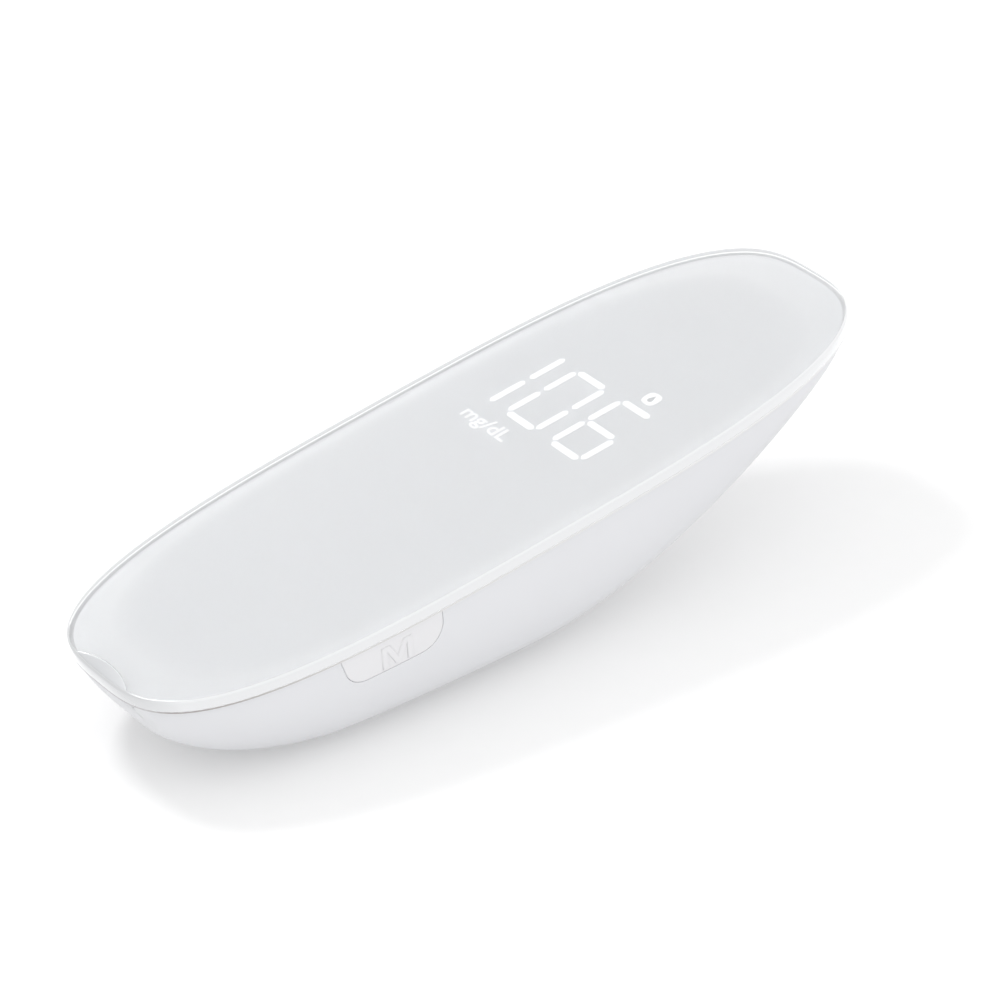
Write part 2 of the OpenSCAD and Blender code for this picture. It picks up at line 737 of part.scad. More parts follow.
// Outline of the button in x and depth, grown by a gap; it runs on above the rim
function button_profile(gap) =
    let (x0 = button_x - gap, x1 = button_x + button_len + gap,
        top = button_top - gap - 1, bottom = button_top + button_h + gap,
        a = [x0, top], b = [x0 + 0.8, bottom - 0.2], c = [x1 - 0.3, bottom], d = [x1, top])
    concat([a], rounded_corner(a, b, c, 1.8 + gap), rounded_corner(b, c, d, 3 + gap), [d]);

// Strip of the housing's wall between two distances inside its outer face
module wall_band(from, to) {
    xs = [for (x = [button_x - 2 : 1 : button_x + button_len + 2]) x];
    n = len(xs) - 1;
    polygon(concat([for (x = xs) [x, from - hull_y(x)]],
        [for (i = [0 : n]) [xs[n - i], to - hull_y(xs[n - i])]]));
}

module memory_button() {
    color(white) {
        // Face
        intersection() {
            slab(button_top, belly_depth) wall_band(0, button_t + wall);
            wall_prism(-body_w, -collar_front + eps) polygon(button_profile(0));
        }
        // Collar behind the wall
        wall_prism(-collar_front, -collar_back) intersection() {
            polygon(button_profile(collar_w));
            translate([0, button_top + collar_w]) square([body_len, belly_depth]);
        }
        // Stem
        translate([button_mid, -collar_back - eps, -plunger_depth]) rotate([-90, 0, 0])
            cylinder(h = stem_len + eps, r = stem_r);
    }
}

// The switch stands on the board's edge, with its plunger just clear of the stem
plunger_depth = pcb_top - switch_size[2] / 2;
plunger_tip = collar_back - stem_len - snug;
switch_front = plunger_tip - plunger_out;

module memory_switch() {
    color(black) difference() {
        block([button_mid - switch_size[0] / 2, -switch_front, pcb_top - switch_size[2]],
            [button_mid + switch_size[0] / 2, switch_size[1] - switch_front, pcb_top]);
        translate([button_mid, -switch_front - 1, -plunger_depth]) rotate([-90, 0, 0])
            cylinder(h = 1 + plunger_in + button_travel + snug, r = plunger_r + bore_gap);
    }
}

module switch_plunger() {
    color(cool_white) translate([button_mid, -plunger_tip, -plunger_depth])
        rotate([-90, 0, 0]) cylinder(h = plunger_out + plunger_in, r = plunger_r);
}

// ---- Strip ejector ----

neck_x0 = ejector_x - neck_len / 2;
knob_back = hull_hw - track_depth + slide_gap / 2;
catch_y = cav_hw - 0.35;
catch_t = 0.7;
catch_reach = 3;
tenon = [2, 1.4];
lug_back = 2;
lug_t = 1.2;

grip_pitch = 1.3;
grip_w = 0.5;
knob_r = 1.2;

module ejector_slider() {
    color(white) {
        difference() {
            wall_prism(knob_back, hull_hw + knob_proud)
                translate([ejector_x, slide_depth]) rounded_rect(knob_size, knob_r);
            // Grip grooves
            for (k = [-1.5 : 1 : 1.5])
                translate([ejector_x + grip_pitch * k, hull_hw + knob_proud, 0])
                rotate(45) cube([grip_w, grip_w, 4 * slide_depth], center = true);
        }
        block([neck_x0, catch_y - eps, slide_depth - arm_t / 2],
            [neck_x0 + neck_len, knob_back + eps, slide_depth + arm_t / 2]);
        block([neck_x0 - catch_reach, catch_y - catch_t, slide_depth - arm_t / 2 - 0.5],
            [neck_x0 + neck_len + catch_reach, catch_y, slide_depth + arm_t / 2 + 0.2]);
        block([ejector_x - tenon[0] / 2, catch_y - catch_t - tenon[1], slide_depth - arm_t / 2],
            [ejector_x + tenon[0] / 2, catch_y - catch_t + eps, slide_depth + arm_t / 2]);
    }
}

module ejector_arm() {
    top = slide_depth - arm_t / 2;
    bottom = slide_depth + arm_t / 2;
    prong_top = slot_depth - 0.18;
    prong_t = 0.4;
    tip_x = connector_x + strip_seat;
    lug_x = ejector_x - lug_back;
    color(black) difference() {
        union() {
            // Fork, spine and cross bar
            block([fork_x, -fork_half_w, top], [fork_x + arm_w, fork_half_w, bottom]);
            block([fork_x, fork_half_w - arm_w, top],
                [ejector_x + lug_back, fork_half_w, bottom]);
            block([lug_x, fork_half_w - arm_w, top],
                [ejector_x + lug_back, catch_y - catch_t, bottom]);
            for (y = [0.05 - fork_half_w, fork_half_w - 0.05 - prong_w])
                block([tip_x, y, prong_top], [fork_x + 1, y + prong_w, prong_top + prong_t]);
            // Lug and pin for the spring
            block([lug_x, spring_y - post_w / 2, deck_floor + 0.3],
                [lug_x + lug_t, spring_y + post_w / 2, bottom]);
            translate([lug_x - pin_len, spring_y, -spring_depth]) rotate([0, 90, 0])
                cylinder(h = pin_len + eps, r = pin_r);
        }
        block([ejector_x - tenon[0] / 2, catch_y - catch_t - tenon[1], top - 1],
            [ejector_x + tenon[0] / 2, catch_y, bottom + 1]);
    }
}

// Return spring: a helix between the deck's post and the arm's lug
module ejector_spring() {
    sides = 8;
    rings = coil_turns * 10;
    x0 = post_x + wire_r + 0.05;
    x1 = ejector_x - lug_back - wire_r - 0.05;
    points = [for (k = [0 : rings], j = [0 : sides - 1])
        let (turn = 360 * coil_turns * k / rings, a = 360 * j / sides,
            r = coil_r + wire_r * cos(a))
        [x0 + (x1 - x0) * k / rings + wire_r * sin(a), spring_y + r * cos(turn),
            r * sin(turn) - spring_depth]];
    skin = [for (k = [0 : rings - 1], j = [0 : sides - 1])
        let (n = (j + 1) % sides)
        [k * sides + j, (k + 1) * sides + j, (k + 1) * sides + n, k * sides + n]];
    color(steel) polyhedron(points, concat(skin,
        [[for (j = [0 : sides - 1]) j]],
        [[for (j = [sides - 1 : -1 : 0]) rings * sides + j]]));
}

// ---- Power ----

// Outline of the charging socket in x and depth: the corners away from the board are cut off
usb_cut = 0.9;
module usb_outline(inset) {
    half = usb_size[0] / 2 - inset;
    top = pcb_floor + inset;
    low = pcb_floor + usb_size[2] - inset;
    translate([usb_x, 0]) polygon([[-half, top], [half, top], [half, low - usb_cut],
        [half - usb_cut, low], [usb_cut - half, low], [-half, low - usb_cut]]);
}

module usb_socket() {
    mouth = hull_y(usb_x) - usb_recess;
    color(steel) difference() {
        wall_prism(mouth - usb_size[1], mouth) usb_outline(0);
        difference() {
            wall_prism(mouth - usb_size[1] + 1, mouth + 1) usb_outline(usb_shell_t);
            // Tongue with the contacts
            block([usb_x - 2, mouth - usb_size[1], usb_depth - 0.3],
                [usb_x + 2, mouth - 0.6, usb_depth + 0.3]);
        }
    }
}

module battery() {
    color(steel) block([cell_x, -cell_size[1] / 2, cell_top],
        [cell_x + cell_size[0], cell_size[1] / 2, cell_floor]);
}

module battery_pad() {
    color(black) block([cell_x + 2, -rib_half, cell_floor],
        [cell_x + cell_size[0] - 2, rib_half, pad_floor]);
}

// Connector under the board: its nose side, and its length, width and height
plug_x = 20;
plug_size = [4, 5, 2.6];
plug_back = plug_x + plug_size[0];

module battery_connector() {
    color(white) block([plug_x, -plug_size[1] / 2, pcb_floor],
        [plug_back, plug_size[1] / 2, pcb_floor + plug_size[2]]);
}

// Two leads from the cell's end to the connector
module battery_leads() {
    low = -cell_top - cell_size[2] / 2;
    high = -pcb_floor - plug_size[2] / 2;
    bend_x = (plug_back + cell_x) / 2;
    color(black) for (y = [-lead_pitch / 2, lead_pitch / 2]) {
        translate([plug_back, y, high]) rotate([0, 90, 0])
            cylinder(h = bend_x - plug_back, r = lead_r);
        translate([bend_x, y, high]) sphere(lead_r);
        translate([bend_x, y, low]) cylinder(h = high - low, r = lead_r);
        translate([bend_x, y, low]) sphere(lead_r);
        translate([bend_x, y, low]) rotate([0, 90, 0])
            cylinder(h = cell_x - bend_x, r = lead_r);
    }
}

place() top_lens();
place() backing_film();
place() display_diffuser();
place() segment_guide();
place() segment_leds();
place() top_deck();
place() lower_housing();
place() port_bezel();
place() strip_connector();
place() strip_contacts();
place() main_pcb();
place() processor_chip();
place() board_chips();
place() wireless_module();
place() memory_button();
place() memory_switch();
place() switch_plunger();
place() ejector_slider();
place() ejector_arm();
place() ejector_spring();
place() usb_socket();
place() battery();
place() battery_pad();
place() battery_leads();
place() battery_connector();
place() housing_screws();
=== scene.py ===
import math

import bmesh
import bpy
import numpy as np
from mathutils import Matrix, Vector


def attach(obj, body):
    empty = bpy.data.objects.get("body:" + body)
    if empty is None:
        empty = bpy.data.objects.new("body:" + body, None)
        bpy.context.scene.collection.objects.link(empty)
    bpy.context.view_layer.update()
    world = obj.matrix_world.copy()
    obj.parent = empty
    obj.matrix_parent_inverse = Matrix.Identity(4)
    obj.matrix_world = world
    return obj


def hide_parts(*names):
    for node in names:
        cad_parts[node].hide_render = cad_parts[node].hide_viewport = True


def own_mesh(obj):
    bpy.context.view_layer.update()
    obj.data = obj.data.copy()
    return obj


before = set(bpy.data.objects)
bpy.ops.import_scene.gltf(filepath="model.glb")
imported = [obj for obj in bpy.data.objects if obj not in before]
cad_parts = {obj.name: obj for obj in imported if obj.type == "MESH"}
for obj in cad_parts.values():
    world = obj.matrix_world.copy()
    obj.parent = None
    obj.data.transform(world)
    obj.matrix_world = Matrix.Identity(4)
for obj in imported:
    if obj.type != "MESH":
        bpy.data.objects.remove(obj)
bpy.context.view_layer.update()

# ---- Lower housing ----
# A boat-shaped shell moulded in satin white plastic: flat at the nose, straight where it
# rests, and swept up under the cover at the display end. The button, the strip ejector and
# the charging socket come through openings whose edges are rolled over in the mould.

# Pieces are drawn in the meter's own frame, in millimetres: x runs from the nose, y is
# across, and depth is counted down from the cover's top face.
cover_len, cover_w = 95.0, 34.0
nose_power, tail_power = 3.2, 3.05
overhang = 0.35
rest_tilt = math.radians(7)
belly_depth, run_start, run_end = 17.9, 20.0, 43.0
tail_sweep, tail_flare, tail_lip = 1.85, 1.4, 0.3
nose_sweep, nose_blunt = 1.6, 2.3
section_power = 3.2
rest_cut = 0.3
wall, edge_r = 1.2, 0.12
seam = 1.65
face_x, face_lean, face_blend = 0.7, math.tan(math.radians(13.5)), 0.22
hull = (overhang, cover_len - overhang, cover_w / 2 - overhang)
cavity = (3.7, 84.0, hull[2] - wall)


def spow(value, power):
    return np.sign(value) * np.abs(value) ** power


def rim(angle, ends):
    """Point of a superellipse (x0, x1, half-width): angle 0 is its nose and pi its tail."""
    x0, x1, half = ends
    power = np.where(np.cos(angle) > 0, nose_power, tail_power)
    x = (x0 + x1) / 2 - (x1 - x0) / 2 * spow(np.cos(angle), 2 / power)
    return x, half * spow(np.sin(angle), 2 / power)


def half_width(x, ends):
    x0, x1, half = ends
    power = np.where(x < (x0 + x1) / 2, nose_power, tail_power)
    u = np.minimum(1, 2 * np.abs(x - (x0 + x1) / 2) / (x1 - x0))
    return half * (1 - u ** power) ** (1 / power)


def run_depth(x):
    return belly_depth + (x - run_end) * math.tan(rest_tilt)


def keel(x):
    u = np.clip((run_start - x) / (run_start - hull[0]), 0, 1)
    v = np.clip((x - run_end) / (hull[1] - run_end), 0, 1)
    nose = (run_depth(hull[0]) - seam) * (1 - (1 - u ** nose_sweep) ** (1 / nose_blunt))
    tail = (run_depth(hull[1]) - seam - tail_lip) * (1 - (1 - v ** tail_sweep) ** tail_flare)
    return run_depth(x) - nose - tail


def wall_y(x, depth):
    """Distance of the housing's outer face from the middle plane."""
    share = np.clip((depth - seam) / (keel(x) - seam), 0, 1)
    return half_width(x, hull) * (1 - share ** section_power) ** (1 / section_power)


def section(half, depth, top, steps):
    """Points (y, depth) at equal distances along a cross-section, from near to far rim."""
    start = math.asin(min(1, ((top - seam) / max(depth - seam, 1e-6)) ** (section_power / 2)))
    a = np.linspace(start, math.pi - start, 600)
    y = -half * spow(np.cos(a), 2 / section_power)
    d = seam + (depth - seam) * np.sin(a) ** (2 / section_power)
    along = np.concatenate([[0], np.cumsum(np.hypot(np.diff(y), np.diff(d)))])
    at = np.linspace(0, along[-1], steps)
    return np.interp(at, along, y), np.interp(at, along, d)


def placed(points):
    """Meter's own frame in millimetres (x, y, depth) to the rest position in metres."""
    x, y, z = np.asarray(points, float).reshape(-1, 3).T * [[1], [1], [-1]]
    c, s = math.cos(rest_tilt), math.sin(rest_tilt)
    mid = (run_start + run_end) / 2
    return np.stack([
        (x - mid) * c - (z + run_depth(mid)) * s,
        y,
        x * s + z * c + belly_depth * c - run_end * s - rest_cut,
    ], 1) / 1000


def smooth(mesh, crisp=35):
    """Smooth shading but for flat caps and for edges sharper than crisp degrees."""
    mesh.shade_smooth()
    mesh.set_sharp_from_angle(angle=math.radians(crisp))
    for face in mesh.polygons:
        face.use_smooth = face.loop_total <= 4


def added(name, data):
    """New object in the scene."""
    made = bpy.data.objects.new(name, data)
    bpy.context.scene.collection.objects.link(made)
    return made


def build(name, points, faces, crisp=35):
    """Closed mesh piece from points in the meter's own frame."""
    mesh = bpy.data.meshes.new(name)
    mesh.from_pydata(placed(points).tolist(), [], faces)
    edit = bmesh.new()
    edit.from_mesh(mesh)
    bmesh.ops.remove_doubles(edit, verts=edit.verts, dist=2e-7)
    bmesh.ops.dissolve_degenerate(edit, edges=edit.edges, dist=1e-8)
    bmesh.ops.recalc_face_normals(edit, faces=edit.faces)
    edit.to_mesh(mesh)
    edit.free()
    smooth(mesh, crisp)
    return added(name, mesh)


def loft(loops, ring=False):
    """Points and faces that join loops of one length, closed by caps or into a ring."""
    n = len(loops[0])
    points = np.concatenate([np.asarray(p, float).reshape(-1, 3) for p in loops])
    rows = len(loops) if ring else len(loops) - 1
    faces = [
        (k * n + i, k * n + j, (k + 1) % len(loops) * n + j, (k + 1) % len(loops) * n + i)
        for k in range(rows) for i in range(n) for j in [(i + 1) % n]
    ]
    if not ring:
        faces += [tuple(range(n))[::-1], tuple(range(len(points) - n, len(points)))]
    return points, faces


def cut(piece, *cutters):
    """Takes the cutters out of the piece."""
    for cutter in cutters:
        change = piece.modifiers.new("cut", "BOOLEAN")
        change.operation, change.solver, change.object = "DIFFERENCE", "EXACT", cutter
    seen = piece.evaluated_get(bpy.context.evaluated_depsgraph_get())
    mesh = bpy.data.meshes.new_from_object(seen)
    piece.modifiers.clear()
    piece.data = mesh
    for cutter in cutters:
        bpy.data.objects.remove(cutter)
    smooth(mesh)


def quarter(steps):
    """Pairs (1 - sin, 1 - cos) over a quarter turn, with which an edge is rounded."""
    return [(1 - math.sin(a), 1 - math.cos(a)) for a in np.radians(np.linspace(0, 90, steps))]


def rolled_opening(profile, surface_at, gap, reach, lip=0.12):
    """Cutter for an opening whose edge is rolled over with radius lip. profile(offset) gives
    points in the wall, and surface_at(point, inside) sets one that far inside the wall."""
    rings = [(gap + lip, -1.0)]
    rings += [(gap + lip * s, lip * c - 0.01) for s, c in quarter(6)]
    rings += [(gap, reach)]
    return build("cutter", *loft([[surface_at(p, inside) for p in profile(offset)]
                                  for offset, inside in rings]))


def spread(angles, ends, crowding, count, endpoint=True):
    """Angles of a superellipse at even distances, shortened as crowding(x, y) says."""
    x, y = rim(angles, ends)
    steps = np.hypot(np.diff(x), np.diff(y)) * crowding(x, y)[1:]
    measure = np.concatenate([[0], np.cumsum(steps)])
    return np.interp(np.linspace(0, measure[-1], count, endpoint=endpoint), measure, angles)


def crowded_ends(x, y):
    """Ten times closer where the nose face is rounded into the walls, three at the tail."""
    return 1 + 9 * np.exp(-(x - 1.6) ** 2) + 2 * np.exp(-((x - 94) / 1.5) ** 2)


outer_steps, inner_steps = 96, 48
loops = []
for f in spread(np.linspace(0, math.pi, 4001), hull, crowded_ends, 190):
    x, half = (float(v) for v in rim(f, hull))
    r = min(edge_r, 0.4 * max(keel(x) - seam, 0))
    near, far = [], []
    for back, down in quarter(5)[:-1]:
        px, py = rim(f, (hull[0] + r * back, hull[1] - r * back, hull[2] - r * back))
        near.append((float(px), -float(py), seam + r * down))
        far.append((float(px), float(py), seam + r * down))
    y, depth = section(half, max(float(keel(x)), seam + 1e-4), seam + r, outer_steps)
    outer = near + [(x, a, b) for a, b in zip(y, depth)] + far[::-1]
    cx, chalf = (float(v) for v in rim(f, cavity))
    floor = min(keel(cx - wall), keel(cx) - wall, keel(cx + wall))
    floor = seam + max(0.4, floor - seam) * abs(math.sin(f)) ** 0.4
    y, depth = section(chalf, max(float(floor), seam + 1e-4), seam, inner_steps)
    loops.append(outer + [(cx, a, b) for a, b in zip(y[::-1], depth[::-1])])
points, faces = loft(loops)
# The shell closes on itself at both ends, so it needs no caps
faces = faces[:-2]

# Flat nose face, rounded into the walls, and the flat on the belly
outside = np.arange(len(points)) % len(loops[0]) < len(outer)
plane = face_x + points[:, 2] * face_lean
ease = np.maximum(face_blend - np.abs(points[:, 0] - plane), 0)
cut_back = np.maximum(points[:, 0], plane) + ease ** 2 / (4 * face_blend)
points[outside, 0] = cut_back[outside]
rest_depth = (belly_depth * math.cos(rest_tilt) - run_end * math.sin(rest_tilt) - rest_cut
              + points[:, 0] * math.sin(rest_tilt)) / math.cos(rest_tilt)
points[:, 2] = np.minimum(points[:, 2], rest_depth)
housing = build("housing_shell", points, faces)


def near_wall(point, inside):
    return point[0], inside - float(wall_y(point[0], point[1])), point[1]


def far_wall(point, inside):
    return point[0], float(wall_y(point[0], point[1])) - inside, point[1]


def nose_face(point, inside):
    return face_x + point[1] * face_lean + inside, point[0], point[1]


def rounded_rect(x0, x1, y0, y1, r, steps=6):
    """Outline of a rectangle with round corners."""
    turn = np.radians(np.linspace(0, 90, steps + 1))
    return [(cx + r * math.cos(a + q), cy + r * math.sin(a + q))
            for q, cx, cy in [(0, x1 - r, y1 - r), (math.pi / 2, x0 + r, y1 - r),
                              (math.pi, x0 + r, y0 + r), (1.5 * math.pi, x1 - r, y0 + r)]
            for a in turn]


def round_off(a, b, c, r, steps=10):
    """Arc of radius r that rounds the corner b between a and c."""
    a, b, c = np.array(a), np.array(b), np.array(c)
    u, v = (a - b) / np.linalg.norm(a - b), (c - b) / np.linalg.norm(c - b)
    half = math.acos(float(u @ v)) / 2
    mid = b + (u + v) / np.linalg.norm(u + v) * r / math.sin(half)
    p, q = b + u * r / math.tan(half) - mid, b + v * r / math.tan(half) - mid
    start = math.atan2(p[1], p[0])
    turn = (math.atan2(q[1], q[0]) - start + 3 * math.pi) % (2 * math.pi) - math.pi
    return [tuple(mid + r * np.array([math.cos(start + turn * k / steps),
                                      math.sin(start + turn * k / steps)]))
            for k in range(steps + 1)]


button_x, button_len, button_h = 19.5, 12.4, 3.75
button_gap, cap_grow = 0.15, 0.065
button_top = seam + button_gap
nose_lean, tail_lean, nose_rise = 0.8, 0.3, 0.2
nose_corner_r, tail_corner_r = 2.1, 3.0


def stretch(p, q, steps):
    """Points that divide the line from p to q, without q itself."""
    return [tuple(np.array(p) + (np.array(q) - np.array(p)) * k / steps) for k in range(steps)]


def button_outline(offset, top=seam - 1.0):
    """Memory button's outline in x and depth, grown by offset, with its upper side at top."""
    x0, x1 = button_x - offset, button_x + button_len + offset
    high, low = button_top - offset - 1, button_top + button_h + offset
    b, c = np.array((x0 + nose_lean, low - nose_rise)), np.array((x1 - tail_lean, low))
    a = b + (np.array((x0, high)) - b) * (b[1] - top) / (b[1] - high)
    d = c + (np.array((x1, high)) - c) * (c[1] - top) / (c[1] - high)
    first = round_off(a, b, c, nose_corner_r + offset)
    second = round_off(b, c, d, tail_corner_r + offset)
    return (stretch(a, first[0], 6) + first + stretch(first[-1], second[0], 12)[1:] + second
            + stretch(second[-1], d, 4)[1:] + stretch(d, a, 16))


def opening(x0, x1, depth, half, room, corner_r, surface_at, reach, lip=0.12, steps=8):
    """Cutter for an oblong opening, with room round what it lets through."""
    return rolled_opening(
        lambda by: rounded_rect(x0 - room - by, x1 + room + by, depth - half - room - by,
                                depth + half + room + by, corner_r + by, steps),
        surface_at, 0, reach, lip)


slot_depth, slot_half = 3.4, 3.2
bezel_half, bezel_h, bezel_room = 4.9, 2.4, 0.01
usb_x, usb_depth, usb_half, usb_h, usb_room = 66.0, 6.5, 3.8, 2.6, 0.4
slide_depth, knob_x, knob_half, knob_h = 3.7, 40.5, 4.3, 2.8
knob_travel, knob_room = 5.0, 0.2
neck_x, neck_half = (38.5, 42.5), 0.4
cut(housing,
    rolled_opening(button_outline, near_wall, button_gap - cap_grow, reach=2.6, lip=0.1),
    opening(-bezel_half, bezel_half, slot_depth, bezel_h / 2, bezel_room, 0.32, nose_face,
            reach=4.4, lip=0.02, steps=6),
    opening(usb_x - usb_half, usb_x + usb_half, usb_depth, usb_h / 2, usb_room, 0.8, far_wall,
            reach=3.5),
    opening(knob_x - knob_half - knob_travel, knob_x + knob_half, slide_depth, knob_h / 2,
            knob_room, 1.4, far_wall, reach=0.5),
    opening(neck_x[0] - knob_travel, neck_x[1], slide_depth, neck_half, knob_room, 0.3,
            far_wall, reach=3.0, lip=0.02, steps=6))


class Wire:
    """An output socket of a material. Sums and products of wires add its Math nodes."""

    def __init__(self, tree, socket=None):
        self.tree, self.socket = tree, socket

    def node(self, kind, inputs, output=0, **settings):
        made = self.tree.nodes.new(kind)
        for name, value in settings.items():
            setattr(made, name, value)
        for name, value in inputs.items():
            if isinstance(value, Wire):
                self.tree.links.new(value.socket, made.inputs[name])
            else:
                made.inputs[name].default_value = value
        return Wire(self.tree, made.outputs[output] if made.outputs else None)

    def maths(self, operation, a, b=0.0):
        return self.node("ShaderNodeMath", {0: a, 1: b}, operation=operation)

    def __add__(self, other):
        return self.maths("ADD", self, other)

    def __sub__(self, other):
        return self.maths("SUBTRACT", self, other)

    def __rsub__(self, other):
        return self.maths("SUBTRACT", other, self)

    def __mul__(self, other):
        return self.maths("MULTIPLY", self, other)

    def __pow__(self, other):
        return self.maths("POWER", self, other)

    def __abs__(self):
        return self.maths("ABSOLUTE", self)

    def clamped(self, low, high):
        """0 where the value is at low, 1 where it is at high, and straight between them."""
        return self.node("ShaderNodeMapRange", {0: self, 1: low, 2: high}, clamp=True)

    def part(self, axis):
        """One of the three numbers of a vector."""
        return self.node("ShaderNodeSeparateXYZ", {0: self}, axis)

    def stretched(self, sizes):
        return self.node("ShaderNodeVectorMath", {0: self, 1: sizes}, operation="MULTIPLY")

    __radd__, __rmul__ = __add__, __mul__


def start_material(name):
    """A bare material: its first wire, and its places in metres in the meter's rest frame."""
    made = bpy.data.materials.new(name)
    made.use_nodes = True
    made.node_tree.nodes.clear()
    bench = Wire(made.node_tree)
    return made, bench, bench.node("ShaderNodeTexCoord", {}, "Object")


def noise(place, grain, detail=2.0):
    """Noise from 0 to 1 whose features are grain millimetres across."""
    return place.node("ShaderNodeTexNoise", {"Vector": place, "Scale": 1000 / grain,
                                             "Detail": detail, "Roughness": 0.55})


def mixed(share, a, b):
    """Colour a where share is 0 and b where it is 1 (the node's sockets 6 and 7)."""
    return share.node("ShaderNodeMix", {0: share, 6: a, 7: b}, 2, data_type="RGBA")


def grey(level, blue=0.0):
    """Grey with its blue raised by that share."""
    return (level, level * (1 + blue * 0.4), level * (1 + blue), 1)


def dimmed(colour, share):
    return tuple(c * share for c in colour[:3]) + (1,)


def surface(bench, inputs, relief=None, relief_mm=0.0):
    """Principled surface whose relief is that many millimetres high."""
    if relief is not None:
        inputs["Normal"] = bench.node("ShaderNodeBump", {
            "Height": relief, "Distance": relief_mm / 1000, "Strength": 0.5})
    return bench.node("ShaderNodeBsdfPrincipled", inputs)


def shown(made, shader):
    """Makes the shader the material's surface."""
    shader.node("ShaderNodeOutputMaterial", {"Surface": shader})
    return made


def moulded(name, colour, rough, grain=0.4, relief_mm=0.003, coat=0.0):
    """Moulded plastic: fine skin from the tool, faint flow marks, and slightly uneven gloss."""
    made, bench, place = start_material(name)
    skin, flow = noise(place, grain), noise(place, 14, 3.0)
    return shown(made, surface(bench, {
        "Base Color": mixed(flow, dimmed(colour, 0.97), colour),
        "Roughness": rough + (flow - 0.5) * 0.10 + (skin - 0.5) * 0.06,
        "Coat Weight": coat, "Coat Roughness": 0.12}, skin, relief_mm))


housing_white = moulded("satin_white_shell", (0.65, 0.654, 0.674, 1), 0.36, coat=0.12)


def dress(piece, material, body="meter_body", replaces=()):
    """Gives a piece its material and body, and hides the solids that it stands for."""
    piece.data.materials.clear()
    piece.data.materials.append(material)
    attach(piece, body)
    if replaces:
        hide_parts(*replaces)


dress(housing, housing_white, replaces=["lower_housing"])

# ---- Port bezel ----
# A satin white insert in the flat nose face, with a funnel that leads the test strip into
# the slot. It stands a little inside the face and is held by the connector behind it.

slot_h, bezel_inset, bezel_back = 0.7, 0.01, 4.1
bezel_roll, funnel_roll = 0.03, 0.12
funnel_side, funnel_rise, funnel_len = 0.08, 0.25, 1.5


def bezel_edge(shrink, inside):
    half, h = bezel_half - shrink, bezel_h / 2 - shrink
    return [nose_face(p, inside) for p in
            rounded_rect(-half, half, slot_depth - h, slot_depth + h, 0.3)]


def slot_edge(open_by, grow, inside):
    half, h = slot_half + funnel_side * open_by + grow, slot_h / 2 + funnel_rise * open_by + grow
    return [nose_face(p, inside) for p in
            rounded_rect(-half, half, slot_depth - h, slot_depth + h, 0.1)]


loops = [bezel_edge(0, bezel_back)]
loops += [bezel_edge(bezel_roll * c, bezel_inset + bezel_roll * s) for s, c in quarter(5)]
loops += [slot_edge(1, funnel_roll * s, bezel_inset + funnel_roll * c) for s, c in quarter(5)]
loops += [slot_edge(0, 0, bezel_inset + funnel_len), slot_edge(0, 0, bezel_back)]
bezel = build("port_insert", *loft(loops, ring=True))
dress(bezel, moulded("satin_white_insert", grey(0.65, 0.03), 0.42),
      replaces=["port_bezel"])

# ---- Memory button ----
# Pressed from the same white plastic as the housing, flush with its side wall, with a collar
# behind the wall that holds it in and a stem that meets the switch. The M is raised.

collar_t, collar_w, collar_r = 0.7, 0.7, 0.1
collar_front = float(half_width(button_x, cavity)) - 0.35
collar_back = collar_front - collar_t
stem_x, stem_depth, stem_r, stem_len = button_x + button_len / 2, 3.55, 0.9, 0.24
cap_top, face_roll = seam + 0.11, 0.13


def level(points, y):
    """Points in x and depth on a plane across the meter at y."""
    return [(x, y, depth) for x, depth in points]


cap_rim = button_outline(cap_grow - face_roll, cap_top + face_roll)
middle = np.array([stem_x, button_top + 1.6])
loops = [[near_wall(middle + (np.array(p) - middle) * share, 0) for p in cap_rim]
         for share in (0.03, 0.1, 0.2, 0.3, 0.4, 0.5, 0.6, 0.7, 0.8, 0.9, 0.97)]
loops += [[near_wall(p, face_roll * c)
           for p in button_outline(cap_grow - face_roll * s, cap_top + face_roll * s)]
          for s, c in quarter(6)]
loops += [level(button_outline(0, cap_top), -collar_front)]
loops += [level(button_outline(collar_w - back, button_top + collar_w + back), -y)
          for back, y in [(collar_r, collar_front), (0, collar_front - collar_r),
                          (0, collar_back + collar_r), (collar_r, collar_back)]]
hub = np.array([stem_x, stem_depth])
spokes = np.array(button_outline(0, button_top)) - hub
spokes /= np.linalg.norm(spokes, axis=1)[:, None]
loops += [level(hub + spokes * r, y - collar_back)
          for r, y in [(stem_r + 0.1, 0), (stem_r, 0.05), (stem_r, stem_len - 0.05),
                       (stem_r - 0.06, stem_len)]]
button = build("button_cap", *loft(loops))
button_white = moulded("satin_white_cap", (0.685, 0.682, 0.696, 1), 0.38, coat=0.1)
dress(button, button_white, "memory_button", ["memory_button"])


def drawn_in(outline, by):
    """Moves every side of a closed outline inwards."""
    p = np.array(outline, float)
    u, v = p - np.roll(p, 1, 0), np.roll(p, -1, 0) - p
    u, v = (w / np.linalg.norm(w, axis=1)[:, None] for w in (u, v))
    side = np.sign(np.sum(p[:, 0] * np.roll(p[:, 1], -1) - np.roll(p[:, 0], -1) * p[:, 1]))
    m, n = (side * np.stack([-w[:, 1], w[:, 0]], 1) for w in (u, v))
    return p + by * (m + n) / (1 + (m * n).sum(1))[:, None]


def relief(name, outline, surface_at, sunk, height, bevel):
    """Raised figure with sloping sides, on the surface that surface_at gives."""
    steps = [(0, sunk), (0, 0), (bevel, -height)]
    return build(name, *loft([[surface_at(p, inside) for p in drawn_in(outline, by)]
                              for by, inside in steps]), crisp=20)


